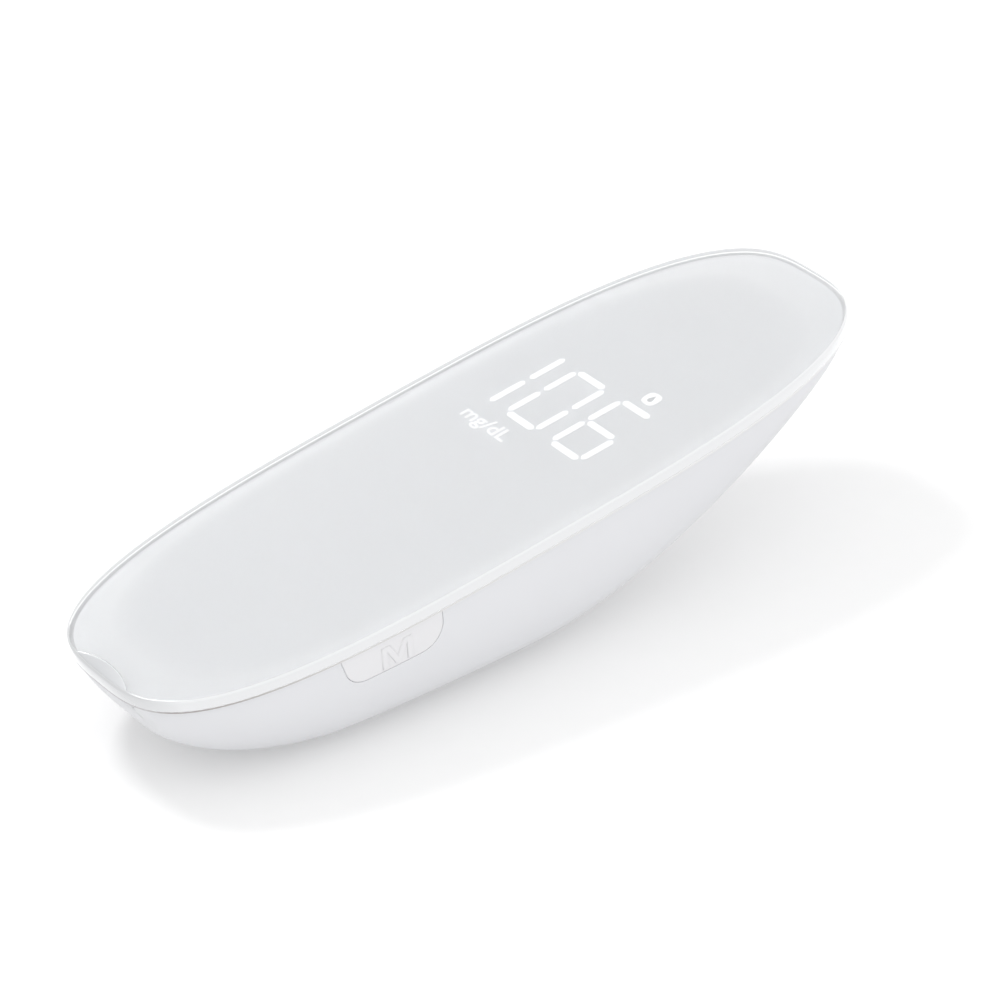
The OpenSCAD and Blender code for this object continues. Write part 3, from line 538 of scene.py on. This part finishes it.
letter_x, letter_w, letter_base, letter_h, letter_slant = 23.95, 3.75, 5.24, 2.72, 0.24
letter_sunk, letter_rise, letter_bevel = 0.1, 0.14, 0.12
m_shape = [(0, 0), (0, 1), (0.29, 1), (0.5, 0.42), (0.71, 1), (1, 1), (1, 0), (0.8, 0),
           (0.8, 0.66), (0.58, 0.04), (0.42, 0.04), (0.2, 0.66), (0.2, 0)]
letter = relief("raised_letter", [(letter_x + letter_w * u + letter_slant * v,
                                   letter_base - letter_h * v) for u, v in m_shape],
                near_wall, letter_sunk, letter_rise, letter_bevel)
dress(letter, button_white, "memory_button")

# ---- Printed film and lit display ----
# A thin white film printed under the cover. The segments, the unit and the small badge are
# gaps in its print, which the LEDs below light up; what is not lit can't be seen.

film_top, film_low, film_margin = 1.32, 1.39, 0.6
mean_power = 3.1


def outline_loop(inset, depth, angles=np.linspace(0, 2 * math.pi, 720, endpoint=False)):
    """The cover's outline, drawn in by inset, at a depth."""
    x, y = rim(angles, (inset, cover_len - inset, cover_w / 2 - inset))
    return np.stack([x, y, np.full(len(angles), depth)], 1)


def sheet(name, profile):
    """Sheet with the cover's outline, from the (inset, depth) points of its edge."""
    return build(name, *loft([outline_loop(inset, depth) for inset, depth in profile]))


def meter_xy(place):
    """Wires for x and y in millimetres in the meter's own frame, near the cover's plane."""
    c, s = math.cos(rest_tilt) * 1000, math.sin(rest_tilt) * 1000
    nose = placed([(0, 0, film_top)])[0]
    x = (place.part(0) - float(nose[0])) * c + (place.part(2) - float(nose[2])) * s
    return x, place.part(1) * 1000


def near_rim(place):
    """1 at the cover's outline, less than 1 inside it."""
    x, y = meter_xy(place)
    return ((abs(x - cover_len / 2) * (2 / cover_len)) ** mean_power
            + (abs(y) * (2 / cover_w)) ** mean_power)


film = sheet("printed_film", [(film_margin + 0.01, film_low), (film_margin, film_low - 0.01),
                              (film_margin, film_top + 0.01), (film_margin + 0.01, film_top)])
printed_white, bench, place = start_material("printed_white")
ink, cloud = noise(place, 0.5), noise(place, 25, 3.0)
# Painted light: near the cover's rim the film is painted lighter and glows faintly, more so on
# the far side.
painted_rim_glow = near_rim(place).clamped(0.5, 0.72) ** 2
painted_rim_glow = painted_rim_glow * (0.4 + place.part(1).clamped(-0.01, 0.01) * 0.6)
tone = mixed(cloud, grey(0.88, 0.03), grey(0.89, 0.03))
shown(printed_white, surface(bench, {
    "Base Color": mixed(painted_rim_glow, tone, grey(0.895, 0.025)),
    "Emission Color": mixed(painted_rim_glow, grey(0.0), grey(0.055)), "Emission Strength": 1.0,
    "Roughness": 0.5 + (ink - 0.5) * 0.1}, ink, 0.001))
dress(film, printed_white, replaces=["backing_film"])

# The deck's own edge, coloured with painted shade that is darkest near the nose and lighter
# towards the tail
deck_rim = sheet("deck_edge", [(0.12, 1.64), (0.09, 1.61), (0.09, 1.44), (0.12, 1.405)])
deck_shade, bench, place = start_material("deck_edge_shade")
skin, across = noise(place, 0.4), meter_xy(place)[0]
painted_nose_shade = mixed(across.clamped(1.0, 2.6), (0.52, 0.51, 0.52, 1), (0.35, 0.33, 0.325, 1))
painted_tail_shade = mixed(across.clamped(20.0, 66.0), (0.56, 0.55, 0.55, 1), (0.70, 0.695, 0.70, 1))
shown(deck_shade, surface(bench, {
    "Base Color": mixed(across.clamped(6.0, 21.0), painted_nose_shade, painted_tail_shade),
    "Roughness": 0.45 + (skin - 0.5) * 0.06}, skin, 0.003))
dress(deck_rim, deck_shade)

lit_white, bench, place = start_material("lit_white")
warmth = noise(place, 2)
shown(lit_white, surface(bench, {
    "Base Color": grey(0.25), "Roughness": 0.5, "Emission Strength": 1.0,
    "Emission Color": mixed(warmth, grey(0.86, 0.01), grey(0.88))}))

digit_x, digit_pitch, digit_y = 61.3, 7.97, 2.6
bar, column = 9.65 / 2, 5.05 / 2
segment_w, segment_gap, long_one = 0.80, 0.62, 0.48
lit_sunk, lit_height, lit_bevel = 0.03, 0.012, 0.004
tall, wide = 0, 1
shapes = {"1": [(tall, 1.2, -1), (tall, -1.05, -1)],
          "0": [(wide, 1, 0), (wide, -1, 0), (tall, 1, 1), (tall, -1, 1), (tall, 1, -1),
                (tall, -1, -1)],
          "6": [(wide, 1, 0), (wide, 0, 0), (wide, -1, 0), (tall, 1, 1), (tall, -1, 1),
                (tall, -1, -1)]}


def on_film(point, inside):
    return point[0], point[1], film_top + inside


def joined(name, pieces):
    """One piece of several."""
    for piece in pieces[1:]:
        edit = bmesh.new()
        edit.from_mesh(pieces[0].data)
        edit.from_mesh(piece.data)
        edit.to_mesh(pieces[0].data)
        edit.free()
        bpy.data.objects.remove(piece)
    pieces[0].name = name
    return pieces[0]


def segment(x, y, length, across):
    """Segment whose ends are mitred to a blunt point."""
    e, h = length / 2, segment_w / 2
    shape = [(-e, -0.2 * h), (-e, 0.2 * h), (0.75 * h - e, h), (e - 0.75 * h, h), (e, 0.2 * h),
             (e, -0.2 * h), (e - 0.75 * h, -h), (0.75 * h - e, -h)]
    return [(x + (v if across else u), y + (u if across else v)) for u, v in shape]


def light_up(name, outline):
    """Gap in the print, with the light behind it."""
    return relief(name, outline, on_film, lit_sunk, lit_height, lit_bevel)


for step, figure in zip((1, 0, -1), "106"):
    y = digit_y + step * digit_pitch
    bars = []
    for across, up, side in shapes[figure]:
        x = digit_x + up * bar * (1 if across else 0.5)
        length = (2 * column if across else bar) - segment_gap + long_one * (figure == "1")
        bars.append(light_up("bar", segment(x, y + side * column, length, across)))
    dress(joined("lit_digit_" + figure, bars), lit_white)


def printed_words(name, words, baseline, left, width, height):
    """Lettering of generic words in the film's plane, read towards -y with its top at +x."""
    text = bpy.data.curves.new(name, "FONT")
    text.body, text.extrude, text.offset, text.resolution_u = words, 0.02, 0.005, 3
    drawn = added(name, text)
    mesh = bpy.data.meshes.new_from_object(
        drawn.evaluated_get(bpy.context.evaluated_depsgraph_get()))
    bpy.data.objects.remove(drawn)
    p = np.array([v.co for v in mesh.vertices])
    u = (p[:, 0] - p[:, 0].min()) / np.ptp(p[:, 0]) * width
    scale = height / p[:, 1].max()
    faces = [tuple(f.vertices) for f in mesh.polygons]
    return build(name, np.stack([baseline + p[:, 1] * scale, left - u, film_top + p[:, 2]], 1),
                 faces)


unit = printed_words("lit_unit", "mg/dL", baseline=52.75, left=8.7, width=7.6, height=1.85)
dress(unit, lit_white)

badge_x, badge_y, badge_half = 68.43, -5.1, 1.0
drop_len, drop_half, drop_height = 0.55, 0.52, 0.016
turn = np.linspace(0, 2 * math.pi, 48, endpoint=False)
badge_shape = [(badge_x + badge_half * float(spow(math.cos(a), 2 / 3)),
                badge_y + badge_half * float(spow(math.sin(a), 2 / 3))) for a in turn]
dress(light_up("lit_badge", badge_shape), lit_white)
drop_shape = [(badge_x + drop_len * math.cos(a) + 0.12 * (1 + math.cos(a)) * math.cos(a) ** 3,
               badge_y + drop_half * math.sin(a) * math.sin(a / 2) ** 1.3) for a in turn]
dress(relief("badge_drop", drop_shape, on_film, lit_sunk, drop_height, lit_bevel),
      moulded("printed_grey", grey(0.74, 0.03), 0.5))

# ---- Clear cover ----
# A flat plate of clear acrylic with a polished, rounded top edge. A crescent scoop at the
# nose guides the strip; a thin lip is left standing outside it.

scoop_r, scoop_reach, scoop_depth, scoop_lip = 10.4, 1.75, 0.55, 0.3
cover_t, cover_r = 1.3, 0.28
lip_r = scoop_r - scoop_reach + scoop_lip
rise = (scoop_r ** 2 - lip_r ** 2 - scoop_depth ** 2) / (2 * scoop_depth)
ball = math.hypot(scoop_r, rise)
# Angles round the edge, seven times closer along the scoop
cover_angles = spread(np.linspace(0, 2 * math.pi, 8001), (0, cover_len, cover_w / 2),
                      lambda x, y: 1 + 6 * (x < 3) * np.exp(-(y / 6.5) ** 6), 900, False)


def cover_loop(inset, depth):
    return outline_loop(inset, depth, cover_angles)


def scooped(loop):
    """Sinks a loop of the top face into the scoop's hollow sphere, with a soft edge."""
    away = np.hypot(loop[:, 0] - (scoop_reach - scoop_r), loop[:, 1])
    low = np.sqrt(np.maximum(ball ** 2 - away ** 2, 0)) - rise
    low[loop[:, 0] > 5] = -1
    soft = 0.03
    loop[:, 2] += (low + np.sqrt(low ** 2 + soft ** 2)) / 2 * (low > -0.4)
    return loop


loops = [cover_loop(0.05, cover_t - 0.005), cover_loop(0.015, cover_t - 0.02),
         cover_loop(0, cover_t - 0.06)]
loops += [cover_loop(cover_r * c, cover_r * s) for s, c in quarter(9)]
loops += [cover_loop(scoop_lip - 0.012, 0), cover_loop(scoop_lip, 0.004)]
loops += [scooped(cover_loop(scoop_lip + 0.03, 0))]
loops += [scooped(cover_loop(s, 0)) for s in np.linspace(scoop_lip + 0.08, 2.6, 30)]
loops += [cover_loop(s, 0) for s in (3.2, 5.0)]
cover = build("clear_cover", *loft(loops))

# Clear where its faces are flat. The edge all round and the scoop's lip are opaque with a
# painted glow, brighter towards the top of the rounding and darker near the nose, and the
# scoop's hollow is dull grey with painted shade, darker towards the far side.
clear_acrylic, bench, place = start_material("clear_acrylic")
haze = noise(place, 30, 3.0)
facing = bench.node("ShaderNodeTexCoord", {}, "Normal")
up = (-math.sin(rest_tilt), 0, math.cos(rest_tilt))
tilt = bench.node("ShaderNodeVectorMath", {0: facing, 1: up}, "Value", operation="DOT_PRODUCT")
across, beside = meter_xy(place)
outward = near_rim(place)
by_scoop = (1 - across.clamped(2.4, 3.0)) * (1 - abs(beside).clamped(5.4, 6.0))
hollow = by_scoop * (1 - outward.clamped(0.980, 0.983))
lip = by_scoop * outward.clamped(0.980, 0.983)
edge_on = 1 - abs(tilt).clamped(0.985, 0.998) * (1 - lip)
side_tone = mixed(haze, grey(0.05, 0.03), grey(0.07, 0.03))
# Painted shade: the scoop's hollow is grey, darker towards the far side.
painted_scoop_shade = mixed(beside.clamped(-5.0, 4.0), grey(0.60, 0.04), grey(0.475, 0.04))
# Painted light: the edge's glow is brighter towards the top of its rounding and darker near the
# nose.
painted_edge_glow = mixed(tilt.clamped(0.05, 0.6), grey(0.725, 0.025), grey(0.765, 0.02))
painted_edge_glow = mixed(across.clamped(0.2, 3.6), grey(0.55, 0.03), painted_edge_glow)
body = surface(bench, {
    "Base Color": mixed(hollow, side_tone, painted_scoop_shade),
    "Emission Color": mixed(hollow, painted_edge_glow, grey(0.0)), "Emission Strength": 1.0,
    "Roughness": 0.12 + hollow * 0.15, "Coat Weight": 0.3, "Coat Roughness": 0.03})
clear = surface(bench, {"Base Color": mixed(haze, (0.985, 0.99, 0.995, 1), (1, 1, 1, 1)),
                        "Roughness": haze * 0.01, "IOR": 1.49, "Transmission Weight": 1.0})
shown(clear_acrylic, bench.node("ShaderNodeMixShader", {0: edge_on, 1: clear, 2: body}))
dress(cover, clear_acrylic, replaces=["top_lens"])

# ---- Strip ejector ----
# A white slide knob in a sunk track on the far wall, ribbed for the thumb. Its neck passes
# through a slot to a catch that carries the black forked arm, and a coil spring returns it.

knob_back, knob_out, knob_r, knob_roll = 16.25, 17.05, 1.2, 0.25
groove_pitch, groove_half, groove_depth = 1.3, 0.36, 0.33


def knob_section(x):
    """Cross-section of the knob, from its underside over its outer face and back."""
    end = max(min(x - (knob_x - knob_half), knob_x + knob_half - x), 0)
    short = max(knob_r - end, 0)
    half = knob_h / 2 - knob_r + math.sqrt(knob_r ** 2 - short ** 2)
    drop = max(knob_roll - end, 0)
    away = min(abs(x - knob_x - k * groove_pitch) for k in (-1.5, -0.5, 0.5, 1.5))
    share = max(1 - away / groove_half, 0)
    top = knob_out - knob_roll + math.sqrt(knob_roll ** 2 - drop ** 2)
    top -= groove_depth * share * (0.5 + 0.5 * share)
    right = [(half - knob_roll * c, top - knob_roll * s) for s, c in quarter(6)]
    crown = [(q * (half - knob_roll), top) for q in np.linspace(1, -1, 9)[1:-1]]
    left = [(-u, v) for u, v in right[::-1]]
    return [(x, v, slide_depth + u) for u, v in
            [(half, knob_back)] + right + crown + left + [(-half, knob_back)]]


ends = knob_r * (1 - np.cos(np.radians(np.linspace(0, 90, 16))))
straight = np.linspace(knob_x - knob_half + knob_r, knob_x + knob_half - knob_r, 90)[1:-1]
stops = [*(knob_x - knob_half + ends), *straight, *(knob_x + knob_half - ends[::-1])]
knob = build("ejector_knob", *loft([knob_section(float(x)) for x in stops]), crisp=40)
knob_white = moulded("satin_white_knob", grey(0.68, 0.03), 0.4)
dress(knob, knob_white, "strip_ejector", ["ejector_slider"])


def rounded_block(name, low, high, r):
    """Block with rounded edges between two corners in the meter's own frame."""
    (x0, y0, d0), (x1, y1, d1) = low, high
    rings = [(r * s, r * c) for s, c in quarter(4)]
    rings += [(a, (d1 - d0) - b) for a, b in rings[::-1]]
    return build(name, *loft([[(x, y, d0 + down) for x, y in
                               rounded_rect(x0 + by, x1 - by, y0 + by, y1 - by,
                                            max(r - by, 0.004) + 0.02, 3)]
                              for by, down in rings]))


neck_back, neck_top, neck_low = 16.26, slide_depth - neck_half, slide_depth + neck_half
catch_x, catch_depth, catch_y, catch_t = (35.5, 45.5), (2.8, 4.3), 15.1, 0.7
tenon_x, tenon_len, sunk = (39.5, 41.5), 1.4, 0.01
catch = joined("ejector_catch", [
    rounded_block("neck", (neck_x[0], catch_y - sunk, neck_top),
                  (neck_x[1], neck_back, neck_low), 0.08),
    rounded_block("catch", (catch_x[0], catch_y - catch_t, catch_depth[0]),
                  (catch_x[1], catch_y, catch_depth[1]), 0.1),
    rounded_block("tenon", (tenon_x[0], catch_y - catch_t - tenon_len, neck_top),
                  (tenon_x[1], catch_y - catch_t + sunk, neck_low), 0.08)])
dress(catch, knob_white, "strip_ejector")

coil_x, coil_y, coil_depth = (26.07, 38.33), 6.5, 3.45
coil_r, wire_r, coil_turns = 0.6, 0.12, 8


def wire_loops(path, r, sides=10):
    """Round loops across a path, for a wire of radius r. The path never runs along aside."""
    ahead, aside = np.gradient(path, axis=0), [0.13, 0.21, 0.97]
    ahead /= np.linalg.norm(ahead, axis=1)[:, None]
    side = np.cross(ahead, aside)
    side /= np.linalg.norm(side, axis=1)[:, None]
    up = np.cross(ahead, side)
    turn = np.linspace(0, 2 * math.pi, sides, endpoint=False)
    return [p + r * (np.cos(turn)[:, None] * a + np.sin(turn)[:, None] * b)
            for p, a, b in zip(path, side, up)]


# The turns lie a little closer together in the middle of the coil
share = np.linspace(0, 1, coil_turns * 26 + 1)
turns = share * coil_turns * 2 * math.pi
pitch = share + 0.044 * np.sin(2 * math.pi * share)
coil = np.stack([coil_x[0] + (coil_x[1] - coil_x[0]) * pitch, coil_y + coil_r * np.cos(turns),
                 coil_depth - coil_r * np.sin(turns)], 1)
spring = build("return_spring", *loft(wire_loops(coil, wire_r)), crisp=60)


def metal(name, colour, rough, streak=(1, 1, 1)):
    """Bare or plated metal with drawing or rolling marks along one direction."""
    made, bench, place = start_material(name)
    marks, spots = noise(place.stretched(streak), 0.5, 3.0), noise(place, 5)
    return shown(made, surface(bench, {
        "Base Color": mixed(spots, dimmed(colour, 0.9), colour),
        "Metallic": 0.96 + spots * 0.04, "Roughness": rough + (marks - 0.5) * 0.25},
        marks, 0.002))


dress(spring, metal("spring_wire", (0.62, 0.62, 0.64, 1), 0.25),
      replaces=["ejector_spring"])
tuple(placed([(coil_x[0], coil_y, coil_depth)])[0])
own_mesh(spring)

# ---- Charging socket ----
# A folded steel shell with a slightly flared mouth, soldered under the board. Inside it a
# black tongue carries five gold-plated contacts.

mouth = float(half_width(usb_x, hull)) - 1.1
back = mouth - 5.3
shell_t, shell_cut = 0.3, 0.9
tongue_half, tongue_t, contact_pitch, contact_w = 2.0, 0.6, 0.65, 0.32


def shell_loop(grow, y):
    """Outline of the shell: square towards the board, with cut corners away from it."""
    half, top, low = usb_half + grow, usb_depth - usb_h / 2 - grow, usb_depth + usb_h / 2 + grow
    cut_x, cut_d = half - shell_cut, low - shell_cut
    right = [(half, top), (half, cut_d - 0.15), (half - 0.12, cut_d + 0.05),
             (cut_x + 0.1, low - 0.08), (cut_x - 0.15, low)]
    return [(usb_x + x, y, d) for x, d in right + [(-x, d) for x, d in right[::-1]]]


# Outside from the back to the flared mouth, and then down the inside
shell = build("socket_shell", *loft([shell_loop(grow, y) for grow, y in [
    (-0.05, back), (0, back + 0.05), (0, mouth - 0.6), (0.05, mouth - 0.25),
    (0.16, mouth - 0.02), (0.14, mouth), (0.02, mouth), (0.06 - shell_t, mouth - 0.3),
    (-shell_t, mouth - 0.6), (-shell_t, back + 1)]]), crisp=30)
dress(shell, metal("nickel_shell", (0.70, 0.69, 0.67, 1), 0.28, (1, 12, 1)),
      replaces=["usb_socket"])
tongue = rounded_block("socket_tongue",
                       (usb_x - tongue_half, back + 0.9, usb_depth - tongue_t / 2),
                       (usb_x + tongue_half, mouth - 0.6, usb_depth + tongue_t / 2), 0.1)
dress(tongue, moulded("socket_black", grey(0.03), 0.5))
contact_gold = metal("contact_gold", (0.83, 0.62, 0.28, 1), 0.22, (1, 8, 1))
fingers = []
for k in range(-2, 3):
    x = usb_x + contact_pitch * k
    fingers.append(rounded_block(
        "finger", (x - contact_w / 2, back + 1.2, usb_depth + tongue_t / 2 - 0.03),
        (x + contact_w / 2, mouth - 0.85, usb_depth + tongue_t / 2 + 0.08), 0.04))
dress(joined("socket_contacts", fingers), contact_gold)

# ---- Deck, light guide and LEDs ----
# The white deck carries the board and screws. Below the film are a milky diffuser, a guide
# block with one light well for each segment, and an LED chip with yellow phosphor in each.


def finish_node(name, material, edge_mm=0.0):
    """Gives a solid of the frame its finish, and breaks its sharp edges."""
    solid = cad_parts[name]
    solid.data.materials.clear()
    solid.data.materials.append(material)
    if edge_mm:
        soft = solid.modifiers.new("broken_edge", "BEVEL")
        soft.width, soft.segments, soft.limit_method = edge_mm / 1000, 2, "ANGLE"
        soft.angle_limit = math.radians(40)


finish_node("top_deck", moulded("deck_white", grey(0.77, 0.02), 0.45, 0.6), 0.06)
finish_node("display_diffuser", moulded("milky_sheet", grey(0.84, 0.01), 0.3, 0.25, 0.002))
finish_node("segment_guide", moulded("guide_white", grey(0.82), 0.55, 0.5), 0.05)

led_chip, bench, place = start_material("led_chip")
lens_side = bench.node("ShaderNodeTexCoord", {}, "Normal").part(2).clamped(0.6, 0.8)
grain = noise(place, 0.08)
phosphor = mixed(grain, (0.86, 0.66, 0.13, 1), (0.93, 0.78, 0.25, 1))
shown(led_chip, surface(bench, {"Base Color": mixed(lens_side, grey(0.8), phosphor),
                                "Roughness": 0.35 + grain * 0.2}, grain, 0.005))
finish_node("segment_leds", led_chip, 0.03)

# ---- Circuit board and what stands on it ----
# Green solder mask over copper tracks on glass-fibre board, black moulded chips, a radio
# module under a nickel-silver can, and the strip connector with its sprung gold fingers.

solder_mask, bench, place = start_material("solder_mask")
facing = bench.node("ShaderNodeTexCoord", {}, "Normal")
board_face = abs(facing.part(2)).clamped(0.5, 0.7)
first, second = (bench.node("ShaderNodeTexVoronoi", {"Vector": place, "Scale": 900.0},
                            "Distance", feature=feature, distance="CHEBYCHEV")
                 for feature in ("F1", "F2"))
copper = 1 - (second - first).clamped(0.10, 0.16)
weave = noise(place, 0.35)
mask_green = mixed(copper, (0.012, 0.105, 0.045, 1), (0.03, 0.20, 0.085, 1))
fibre = mixed(weave, (0.36, 0.31, 0.16, 1), (0.52, 0.47, 0.27, 1))
shown(solder_mask, surface(bench, {"Base Color": mixed(board_face, fibre, mask_green),
                                   "Roughness": 0.32 + weave * 0.08}, copper, 0.02))
finish_node("main_pcb", solder_mask)

epoxy = moulded("chip_epoxy", grey(0.028, 0.05), 0.55, 0.12, 0.004)
finish_node("processor_chip", epoxy, 0.06)
finish_node("board_chips", epoxy, 0.06)
finish_node("wireless_module", metal("shield_can", (0.72, 0.71, 0.68, 1), 0.33, (1, 10, 1)),
            0.12)
connector_black = moulded("connector_black", grey(0.03), 0.5, 0.2)
finish_node("strip_connector", connector_black, 0.06)
finish_node("strip_contacts", contact_gold, 0.02)
finish_node("memory_switch", moulded("switch_black", grey(0.035), 0.45, 0.25), 0.06)
finish_node("switch_plunger", moulded("plunger_white", grey(0.7), 0.4), 0.06)
finish_node("ejector_arm", moulded("slippery_black", grey(0.03, 0.03), 0.38, 0.5), 0.06)

# ---- Cell, leads and screws ----
# A flat pouch cell in a plain wrap, on a foam pad, with two short insulated leads to a white
# two-pin plug, and four zinc-plated screws that hold the housing to the deck.

cell_wrap, bench, place = start_material("cell_wrap")
crease, tone = noise(place.stretched((1, 2.5, 1)), 6, 4.0), noise(place, 1.2)
shown(cell_wrap, surface(bench, {
    "Base Color": mixed(tone, grey(0.46, 0.04), grey(0.55, 0.04)),
    "Metallic": 0.55 + tone * 0.1, "Roughness": 0.3 + crease * 0.15}, crease, 0.12))
finish_node("battery", cell_wrap, 0.5)

foam_black, bench, place = start_material("foam_black")
pores = bench.node("ShaderNodeTexVoronoi", {"Vector": place, "Scale": 3200.0}, "Distance")
shown(foam_black, surface(bench, {"Base Color": mixed(pores, grey(0.02), grey(0.07)),
                                  "Roughness": 0.85 + pores * 0.1}, pores, 0.08))
finish_node("battery_pad", foam_black)
finish_node("battery_leads", moulded("lead_jacket", grey(0.03), 0.35, 0.6))
finish_node("battery_connector", moulded("plug_white", grey(0.74, -0.03), 0.45), 0.08)
finish_node("housing_screws", metal("zinc_plate", (0.66, 0.67, 0.69, 1), 0.3))

# ---- Floor, light and camera ----
# A pale floor in an even white room that is brighter on the near side, with one small soft
# lamp above and behind. None of this is part of the meter.

floor_half = 3.0
paper_sheet = bpy.data.meshes.new("pale_floor")
paper_sheet.from_pydata([(x * floor_half, y * floor_half, 0)
                         for x, y in [(-1, -1), (1, -1), (1, 1), (-1, 1)]], [], [(0, 1, 2, 3)])
floor = added("pale_floor", paper_sheet)
pale_sweep, bench, place = start_material("pale_sweep")
paper = noise(place, 3)
floor.data.materials.append(shown(pale_sweep, surface(bench, {
    "Base Color": mixed(paper, grey(0.66), grey(0.67)), "Roughness": 0.9,
    "Emission Color": grey(1.0), "Emission Strength": 0.22})))

world = bpy.data.worlds.new("studio")
bpy.context.scene.world = world
world.use_nodes = True
world.node_tree.nodes.clear()
bench = Wire(world.node_tree)
towards = bench.node("ShaderNodeTexCoord", {}, "Generated")
near_side = bench.node("ShaderNodeVectorMath", {0: towards, 1: (0.3, -0.955, 0)}, "Value",
                       operation="DOT_PRODUCT")
room = mixed(near_side.clamped(-1.0, 1.0), grey(0.78), grey(1.47))
bench.node("ShaderNodeOutputWorld", {
    "Surface": bench.node("ShaderNodeBackground", {"Color": room, "Strength": 1.0})})

light = bpy.data.lights.new("key_lamp", "AREA")
light.shape, light.size, light.energy = "DISK", 0.13, 0.9
lamp = added("key_lamp", light)
lamp.location = lamp_at = Vector((-0.061, 0.267, 0.427))
lamp.rotation_euler = (lamp_at - Vector((0.01, 0, 0.01))).to_track_quat("Z", "Y").to_euler()

camera = added("camera", bpy.data.cameras.new("camera"))
camera.location = (-0.24325, -0.385996, 0.30843)
camera.rotation_euler = [math.radians(a) for a in (57.465, 3.1296, -36.0643)]
camera.data.lens, camera.data.sensor_width = 186.01, 36
camera.data.clip_start, camera.data.clip_end = 0.01, 20
bpy.context.scene.camera = camera
bpy.context.scene.view_settings.view_transform = "Standard"
